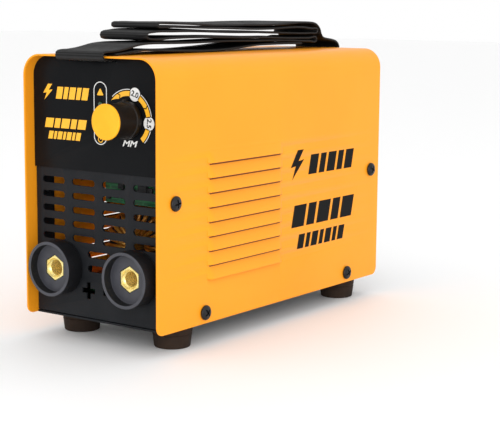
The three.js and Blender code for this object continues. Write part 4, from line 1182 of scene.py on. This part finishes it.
# ---- Transformer -------------------------------------------------------------------------------
# A ferrite core with two windows, and a winding of the same wire in close turns round its middle
# leg, over a bobbin wrapped in yellow insulating tape.
transformer_core = refine("transformer_core", "ferrite_transformer_core", 0.7 * MM, 50, 3)
fit(transformer_core, ferrite, "ferrite", "transformer_core")
coil_low, coil_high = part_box("transformer_winding")
coil_middle = (coil_low + coil_high) / 2
coil_half = (coil_high - coil_low) / 2
coil_turns, coil_steps = 13, 28
coil_pitch = (coil_half.z * 2 - 3 * MM) / coil_turns
coil_points = []
for k in range(coil_turns * coil_steps + 1):
    turn = math.tau * k / coil_steps
    swing, lift = math.cos(turn), math.sin(turn)
    square = (abs(swing) ** 5 + abs(lift) ** 5) ** (-1 / 5)
    coil_points.append((
        coil_middle.x + (coil_half.x - wire_radius) * swing * square,
        coil_middle.y + (coil_half.y - wire_radius) * lift * square,
        coil_low.z + 1.5 * MM + coil_pitch * k / coil_steps,
    ))
coil = wire("transformer_wire_winding", coil_points, wire_radius)
fit(coil, enamel, "enamelled_wire", "transformer_winding")
bobbin_depth = 2 * wire_radius + 0.4 * MM
bobbin_low = coil_low + Vector((bobbin_depth, bobbin_depth, 0))
bobbin_high = coil_high - Vector((bobbin_depth, bobbin_depth, 0))
bobbin = block("tape_bobbin", bobbin_low, bobbin_high)
core_low, core_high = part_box("transformer_core")
leg_low = (coil_middle.x - 5.3 * MM, core_low.y - 0.3 * MM, coil_low.z - 1 * MM)
leg_high = (coil_middle.x + 5.3 * MM, core_high.y + 0.3 * MM, coil_high.z + 1 * MM)
punch(bobbin, [block("leg", leg_low, leg_high)])
round_edges(bobbin, 0.5 * MM, 50)
smooth(bobbin, 30)
tape = blended_finish(
    "yellow_insulating_tape", 0.4, (0.75, 0.42, 0.04), (0.85, 0.5, 0.06), 180,
    gloss=(0.32, 0.5, 320),
)
fit(bobbin, tape, "enamelled_wire")

# ---- Smoothing capacitor -----------------------------------------------------------------------
# An aluminium can in a dark blue shrunk sleeve, rolled in near its base, with a scored vent on top.
can_low, can_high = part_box("capacitor")
can_radius, can_height = (can_high.x - can_low.x) / 2 / MM, (can_high.z - can_low.z) / MM
can_profile = [(0, 0), (can_radius - 0.6, 0)] + arc_points(can_radius - 0.6, 0.6, 0.6, 0.6, -90, 0, 3)
can_profile += [(can_radius, 2.6), (can_radius - 1, 3.4), (can_radius - 1, 4), (can_radius, 4.8)]
can_profile += arc_points(can_radius - 1, can_height - 1, 1, 1, 0, 90, 5)
can_profile += [(can_radius - 2, can_height), (can_radius - 2.3, can_height - 0.7), (0, can_height - 0.7)]
can = turned("capacitor_can", can_profile, 64)
for first, last in (((-7, -0.25), (7, 0.25)), ((-0.25, -7), (0.25, 7))):
    low = (first[0] * MM, first[1] * MM, (can_height - 1) * MM)
    punch(can, [block("score", low, (last[0] * MM, last[1] * MM, can_height * MM))])
smooth(can, 35)
can_place = ((can_low.x + can_high.x) / 2, (can_low.y + can_high.y) / 2, can_low.z)
can.data.transform(Matrix.Translation(can_place))
sleeve = blended_finish(
    "dark_blue_sleeve", 0.3, (0.012, 0.02, 0.05), (0.017, 0.03, 0.07), 80,
    gloss=(0.24, 0.36, 240),
)
fit(can, sleeve, "capacitor_sleeve", "capacitor")

# ---- Rear panel --------------------------------------------------------------------------------
# The same pressed pan as the front, with rings of slots in front of the fan, four screw holes, and
# openings for the power switch and the cable gland.
rear_low, rear_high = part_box("rear_panel")
rear_face = rear_high.y
fan_low, fan_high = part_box("fan_frame")
fan_z = (fan_low.z + fan_high.z) / 2
fan_screw_reach = 35.76 * MM
switch_low, switch_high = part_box("power_switch")
switch_middle = (switch_low + switch_high) / 2
gland_low, gland_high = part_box("cable_gland")
gland_middle = (gland_low + gland_high) / 2
rear_panel = pressed_pan("pressed_rear_panel", rear_low, rear_high, rear_face, -1)
punch_start = rear_face - 4 * MM
half_slot, rib = 2 * MM, 1.75 * MM
for ring_radius in (12.53 * MM, 20 * MM, 27.5 * MM, 35 * MM):
    ring = rod("ring", (0, punch_start, fan_z), ring_radius + half_slot, punch_depth + 1 * MM, "Y", 96)
    core_start = (0, punch_start - 1 * MM, fan_z)
    punch(ring, [rod("core", core_start, ring_radius - half_slot, punch_depth + 3 * MM, "Y", 96)])
    for turn in (45, -45):
        bar = block("rib", (-50 * MM, punch_start - 1 * MM, -rib), (50 * MM, punch_start + 8 * MM, rib))
        bar.data.transform(Matrix.Translation((0, 0, fan_z)) @ Matrix.Rotation(math.radians(turn), 4, "Y"))
        punch(ring, [bar])
    punch(rear_panel, [ring])
rear_holes = [
    rod("hole", (across * fan_screw_reach, punch_start, fan_z + up * fan_screw_reach), screw_hole,
        punch_depth, "Y", 24)
    for across in (-1, 1) for up in (-1, 1)
]
gland_place = (gland_middle.x, punch_start, gland_middle.z)
gland_hole = 7.8 * MM
rear_holes.append(rod("hole", gland_place, gland_hole, punch_depth, "Y", 64))
rear_holes.append(block(
    "switch_hole",
    (switch_middle.x - 9.3 * MM, punch_start, switch_middle.z - 13.3 * MM),
    (switch_middle.x + 9.3 * MM, punch_start + punch_depth, switch_middle.z + 13.3 * MM),
))
punch(rear_panel, rear_holes)
punch(rear_panel, side_screw_holes([side_screw_places["rear_upper"]]))
round_edges(rear_panel, 0.16 * MM, angle=50)
smooth(rear_panel, 30)
fit(rear_panel, dark_paint, "grey_paint", "rear_panel")
fan_screw = cross_screw("fan_screw", 10)
for number, (across, up) in enumerate(((-1, -1), (1, -1), (-1, 1), (1, 1)), start=1):
    place = (across * fan_screw_reach, rear_face + 0.3 * MM, fan_z + up * fan_screw_reach)
    spin = Matrix.Rotation(math.radians(21 * number), 4, "Z")
    screw = set_copy(fan_screw, f"fan_pan_screw_{number}", Matrix.Translation(place) @ face_rear @ spin)
    fit(screw, black_oxide, "black_screw", f"fan_screw_{number}")
bpy.data.objects.remove(fan_screw, do_unlink=True)

# ---- Fan ---------------------------------------------------------------------------------------
# An 80 mm axial fan: a square moulded frame with a cross of struts that carries the motor, and a
# rotor whose seven twisted blades grow from its hub.
fan_frame = refine("fan_frame", "moulded_fan_frame", 0.4 * MM, 50)
fit(fan_frame, moulded_black, "black_plastic", "fan_frame")
rotor_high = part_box("fan_rotor")[1]
hub_radius, tip_radius, hub_length = 15, 36.4, 18.8
hub_profile = [(0, 0), (13.5, 0), (13.5, 1), (hub_radius, 1.2), (hub_radius, hub_length - 1.6)]
hub_profile += arc_points(hub_radius - 1.6, hub_length - 1.6, 1.6, 1.6, 0, 90, 5)
hub_profile += [(10.4, hub_length), (10.1, hub_length - 0.3), (0, hub_length - 0.3)]
hub = turned("hub", hub_profile, 72)
blade_count, span_steps, chord_steps = 7, 12, 10


def twist_blade(column, row):
    share, chord = column / (span_steps - 1), row / (chord_steps - 1) - 0.5
    radius = hub_radius - 1.2 + share * (tip_radius - hub_radius + 1.2)
    pitch = math.radians(52 - 16 * share)
    width = 17.5 + 6.5 * share
    camber = 2.2 * (1 - 4 * chord * chord)
    sweep = chord * width * math.sin(pitch) + camber * math.cos(pitch) - 3.5 * share
    height = hub_length / 2 + chord * width * math.cos(pitch) - camber * math.sin(pitch)
    height = min(max(height, 1.2), hub_length - 1.2)
    angle = sweep / radius
    return (radius * math.cos(angle) * MM, radius * math.sin(angle) * MM, height * MM)


blade = place_grid("blade", span_steps, chord_steps, twist_blade)
finish_with(blade, "SOLIDIFY", thickness=1.3 * MM, offset=0)
round_edges(blade, 0.35 * MM, 60)
blades = [set_copy(blade, f"blade_{k}", Matrix.Rotation(math.tau * k / blade_count, 4, "Z"))
          for k in range(blade_count)]
bpy.data.objects.remove(blade, do_unlink=True)
rotor = join_as("moulded_fan_rotor", [hub, *blades])
smooth(rotor, 40)
rotor.data.transform(Matrix.Translation((0, rotor_high.y - hub_length * MM - 0.1 * MM, fan_z)) @ face_rear)
fit(rotor, moulded_black, "black_plastic", "fan_rotor", "fan")

# ---- Power switch ------------------------------------------------------------------------------
# A snap-in rocker switch: a moulded bezel and body, and a rocker with a shallow valley, moulded
# with a line for on and a ring for off.
pivot_y = rear_face - 1.5 * MM
housing = block(
    "switch_housing",
    (switch_middle.x - 9 * MM, switch_low.y, switch_middle.z - 13 * MM),
    (switch_middle.x + 9 * MM, rear_face + 0.4 * MM, switch_middle.z + 13 * MM),
)
bezel = block(
    "bezel",
    (switch_middle.x - 11 * MM, rear_face + 0.3 * MM, switch_middle.z - 15 * MM),
    (switch_middle.x + 11 * MM, switch_high.y, switch_middle.z + 15 * MM),
)
pick(bezel, "EDGE", lambda edge: abs(edge.verts[0].co.y - edge.verts[1].co.y) > 1 * MM)
bpy.ops.mesh.bevel(offset=1.6 * MM, segments=5, affect="EDGES")
deselect()
punch(housing, [bezel], "UNION")
punch(housing, [block(
    "pocket",
    (switch_middle.x - 8.3 * MM, pivot_y - 7 * MM, switch_middle.z - 12.3 * MM),
    (switch_middle.x + 8.3 * MM, pivot_y + 13 * MM, switch_middle.z + 12.3 * MM),
)])
round_edges(housing, 0.35 * MM, 50, 3)
smooth(housing, 35)
fit(housing, moulded_black, "black_plastic", "power_switch")

rocker_radius, rocker_width = 12 * MM, 16 * MM
rocker_edge = 4.6 * MM
rocker_edge_z = math.sqrt(rocker_radius ** 2 - rocker_edge ** 2)
rocker_tilt = math.radians(12)
valley = rocker_edge - rocker_edge_z * math.tan(rocker_tilt)
rocker = rod("moulded_rocker", (-rocker_width / 2, 0, 0), rocker_radius, rocker_width, "X", 96)
punch(rocker, [block("back", (-20 * MM, -20 * MM, -20 * MM), (20 * MM, -3 * MM, 20 * MM))])
deselect()
bpy.ops.mesh.primitive_cylinder_add(vertices=3, radius=1, depth=0.04)
wedge = bpy.context.active_object
far = 60 * MM
wedge_rise = far * math.tan(rocker_tilt)
wedge_corners = [(valley, 0), (valley + wedge_rise, far), (valley + wedge_rise, -far)]
for corner in wedge.data.vertices:
    y, z = wedge_corners[corner.index // 2]
    corner.co = (math.copysign(0.02, corner.co.z), y, z)
close_up(wedge)
punch(rocker, [wedge])
punch(rocker, [block("on_groove", (-0.5 * MM, valley + 0.55 * MM, 4.2 * MM), (0.5 * MM, 8 * MM, 8.6 * MM))])
off_groove = turned("off_groove", [(1.5, 0), (2.3, 0), (2.3, 6), (1.5, 6)], 40)
off_groove.data.transform(Matrix.Translation((0, valley + 0.55 * MM, -6.2 * MM)) @ face_rear)
punch(rocker, [off_groove])
round_edges(rocker, 0.3 * MM, 45, 3)
smooth(rocker, 35)
rocker.data.transform(
    Matrix.Translation((switch_middle.x, pivot_y, switch_middle.z)) @ Matrix.Rotation(rocker_tilt, 4, "X")
)
rocker_plastic = blended_finish(
    "glossy_rocker_plastic", 0.28, (0.012, 0.012, 0.013), (0.017, 0.017, 0.019), 150,
    gloss=(0.24, 0.34, 300),
)
fit(rocker, rocker_plastic, "rocker_plastic", "power_rocker", "rocker")

# ---- Cable gland -------------------------------------------------------------------------------
# A nylon gland for the mains lead: a threaded body through the panel, a hexagonal flange, a domed
# clamping cap with finger ribs, and a nut behind. The lead itself is not fitted.
gland_profile = [(4.2, -12), (7.1, -12)]
for k in range(7):
    gland_profile += [(7.5, -11.6 + k * 1.6), (7.5, -11 + k * 1.6), (7.1, -10.6 + k * 1.6)]
gland_profile += [(7.5, 0.3), (10.9, 0.3), (10.9, 6), (9.6, 6.4), (9.6, 7.2), (9.4, 13.5)]
gland_profile += arc_points(5.6, 13.5, 3.8, 6.2, 0, 75, 8) + [(4.9, 19.9), (4.2, 19.4)]
gland = turned("nylon_cable_gland", gland_profile, 72)
flats = hex_rod("flats", 20.4, -14, 24)
flats.data.transform(Matrix.Rotation(math.radians(30), 4, "Z"))
punch(gland, [flats], "INTERSECT")
ribs = []
for k in range(18):
    rib_bar = block("rib", (9.0 * MM, -0.55 * MM, 7.6 * MM), (9.95 * MM, 0.55 * MM, 13.4 * MM))
    rib_bar.data.transform(Matrix.Rotation(math.tau * k / 18, 4, "Z"))
    ribs.append(rib_bar)
punch(gland, ribs, "UNION")
round_edges(gland, 0.2 * MM, 50)
smooth(gland, 35)
gland.data.transform(Matrix.Translation((gland_middle.x, rear_face, gland_middle.z)) @ face_rear)
gland_nut = refine("gland_nut", "nylon_gland_nut", 0.4 * MM, 50)
for piece, node in ((gland, "cable_gland"), (gland_nut, "gland_nut")):
    fit(piece, moulded_black, "black_plastic", node)

# ---- Carry strap -------------------------------------------------------------------------------
# One length of black polypropylene webbing, 36 mm wide and 1.4 mm thick over its ribs. It wraps the
# cover's front and rear edges and lies in flat folds along the top. The ribs are its weft.
webbing_thickness = 1.2 * MM
# The webbing's middle, as (place along the case, height above it, roll in degrees), in millimetres.
# A positive roll lifts its right edge. Folds turn near -83 and -73 at the front and 96 at the rear.
strap_route = [
    (-101.2, -2.05, 0), (-112, -2.05, 0), (-119.4, -2.05, 0), (-121.1, -1.4, 0), (-121.6, 0.2, 0),
    (-120.9, 1.8, 0), (-118.5, 2.5, 0), (-112, 2.7, 0), (-104, 3.6, 0), (-93, 5.6, 0), (-82, 6.4, 0),
    (-60, 6.3, 0), (-26, 6.2, 0.6), (0, 6.3, 0.6), (32, 6.3, 0), (60, 5.7, 0), (86, 5.2, 0),
    (95.3, 6.1, 0), (86, 7.0, 0), (66, 7.4, 0), (41, 7.9, 0), (22, 8.4, 0), (0, 8.9, 0), (-33, 9.3, 0),
    (-60, 9.3, 0), (-77, 8.8, 0), (-83.2, 10.9, 0), (-77, 13.1, 0), (-59, 13.6, -1.2), (-18, 12.8, -1),
    (20, 11.8, -0.6), (44, 11.3, 0), (70, 10.6, 0), (87, 10.3, 0), (95.6, 11.8, 0), (87, 13.4, 0),
    (73, 14.3, 0), (44, 14.2, -1.3), (13, 14.3, -1.3), (-20, 15.0, -0.6), (-54, 15.8, 0),
    (-68, 15.6, 0), (-73.2, 16.85, 0), (-68, 18.1, 0), (-54, 17.8, -0.6), (-18, 17.0, -1.4),
    (13, 16.7, -1.8), (44, 16.9, -1.8), (72, 17.5, -0.6), (86, 17.2, 0), (94, 16.2, 0), (98.8, 13, 0),
    (100.8, 9.4, 0), (103.2, 7.2, 0), (108.5, 6.2, 0), (115.5, 5.3, 0), (121, 3.9, 0), (123.9, 1.3, 0),
    (123.7, -1.3, 0), (121, -2.6, 0), (116, -2.15, 0), (110, -2.05, 0), (101.2, -2.05, 0),
]
# A free tail of the same webbing lies on the cover, under the folds.
tail_route = [
    (-111, 0.8, 0), (-100, 1.7, 0), (-85, 2.8, 0), (-62, 2.0, 0), (-28, 0.95, 0), (0, 1.9, 0),
    (32, 3.6, 0), (58, 3.9, 0), (78, 3.6, 0),
]


def smooth_run(points, step):
    """Evenly spaced stations along a smooth curve through the points."""
    fine = []
    for k in range(len(points) - 1):
        before, first = points[max(k - 1, 0)], points[k]
        last, after = points[k + 1], points[min(k + 2, len(points) - 1)]
        pieces = max(4, round(math.dist(first[:2], last[:2]) / step * 2))
        reach = math.dist(first[:2], last[:2])
        lead = reach / max(math.dist(before[:2], last[:2]), 1e-6)
        trail = reach / max(math.dist(first[:2], after[:2]), 1e-6)
        for j in range(pieces):
            t = j / pieces
            weights = (2 * t ** 3 - 3 * t ** 2 + 1, t ** 3 - 2 * t ** 2 + t,
                       3 * t ** 2 - 2 * t ** 3, t ** 3 - t ** 2)
            fine.append(tuple(
                weights[0] * first[i] + weights[1] * (last[i] - before[i]) * lead
                + weights[2] * last[i] + weights[3] * (after[i] - first[i]) * trail
                for i in range(3)
            ))
    fine.append(points[-1])
    stations, walked, wanted = [fine[0]], 0.0, step
    for first, last in zip(fine, fine[1:]):
        reach = math.dist(first[:2], last[:2])
        while walked + reach >= wanted:
            share = (wanted - walked) / reach
            stations.append(tuple(a + (b - a) * share for a, b in zip(first, last)))
            wanted += step
        walked += reach
    return stations


rib_pitch = 1.6 * MM
strap_step = rib_pitch / 2
strap_columns = 13


def lay_webbing(name, route, seed):
    """A ribbon along a route, ribbed across, with a slight sway and cockle where it lies free."""
    stations = smooth_run([(y * MM, case_top + up * MM, roll) for y, up, roll in route], strap_step)
    length = strap_step * (len(stations) - 1)
    random.seed(seed)
    beats = [(beat, random.uniform(0, math.tau)) for beat in (19, 41, 67)]

    def place(column, row):
        y, z, roll = stations[row]
        before, after = stations[max(row - 1, 0)], stations[min(row + 1, len(stations) - 1)]
        ahead = Vector((0, after[0] - before[0], after[1] - before[1])).normalized()
        outward = Vector((1, 0, 0)).cross(ahead)
        lean = math.copysign(math.radians(roll), ahead.y * roll)
        walked = row * strap_step
        free = min(1, max(0, (min(walked, length - walked) - 32 * MM) / (15 * MM)))
        sway = 0.5 * MM * free * sum(math.sin(walked * beat + phase) for beat, phase in beats)
        across = (column / (strap_columns - 1) - 0.5) * strap_width
        rib = 0.1 * MM * (1 if row % 2 else -1)
        cockle = 0.12 * MM * free * math.sin(walked * 95 + across * 60)
        middle = Vector((strap_middle + sway, y, z))
        side = Vector((math.cos(lean), 0, 0)) + outward * math.sin(lean)
        return middle + side * across + outward * (rib + cockle)

    ribbon = place_grid(name, strap_columns, len(stations), place)
    finish_with(ribbon, "SOLIDIFY", thickness=webbing_thickness, offset=0)
    round_edges(ribbon, 0.28 * MM, 70, 2)
    smooth(ribbon, 50)
    return ribbon, length


webbing_strap, strap_length = lay_webbing("webbing_carry_strap", strap_route, 7)
strap_tail, tail_length = lay_webbing("webbing_strap_tail", tail_route, 8)
webbing, tree, shader = new_finish("black_polypropylene_webbing", 0.62)
split = tree.nodes.new("ShaderNodeSeparateXYZ")
tree.links.new(object_place(tree), split.inputs["Vector"])
weft = 0.85 * MM
along = measure(tree, "ADD", split.outputs["Y"], split.outputs["Z"])
lines = measure(tree, "PINGPONG", along, weft)
ribs = measure(tree, "MULTIPLY", lines, 1 / weft)
drift_colour(tree, shader, (0.004, 0.004, 0.0042), (0.017, 0.017, 0.0175), ribs)
raise_grain(tree, shader, ribs, 0.7, 0.2 * MM)
shader.inputs["Specular IOR Level"].default_value = 0.25
vary_gloss(tree, shader, 0.5, 0.75, mottle(tree, 300))
for ribbon, length in ((webbing_strap, strap_length), (strap_tail, tail_length)):
    fit(ribbon, webbing, "webbing")
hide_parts("carry_strap")

# ---- Strap clamps ------------------------------------------------------------------------------
# A zinc-plated steel strip at the front and one at the rear press the strap's two ends up against
# the inside of the cover.
for end in ("front", "rear"):
    clamp = refine(f"strap_clamp_{end}", f"steel_strap_clamp_{end}", 0.3 * MM, 50)
    fit(clamp, zinc, "zinc_steel", f"strap_clamp_{end}")
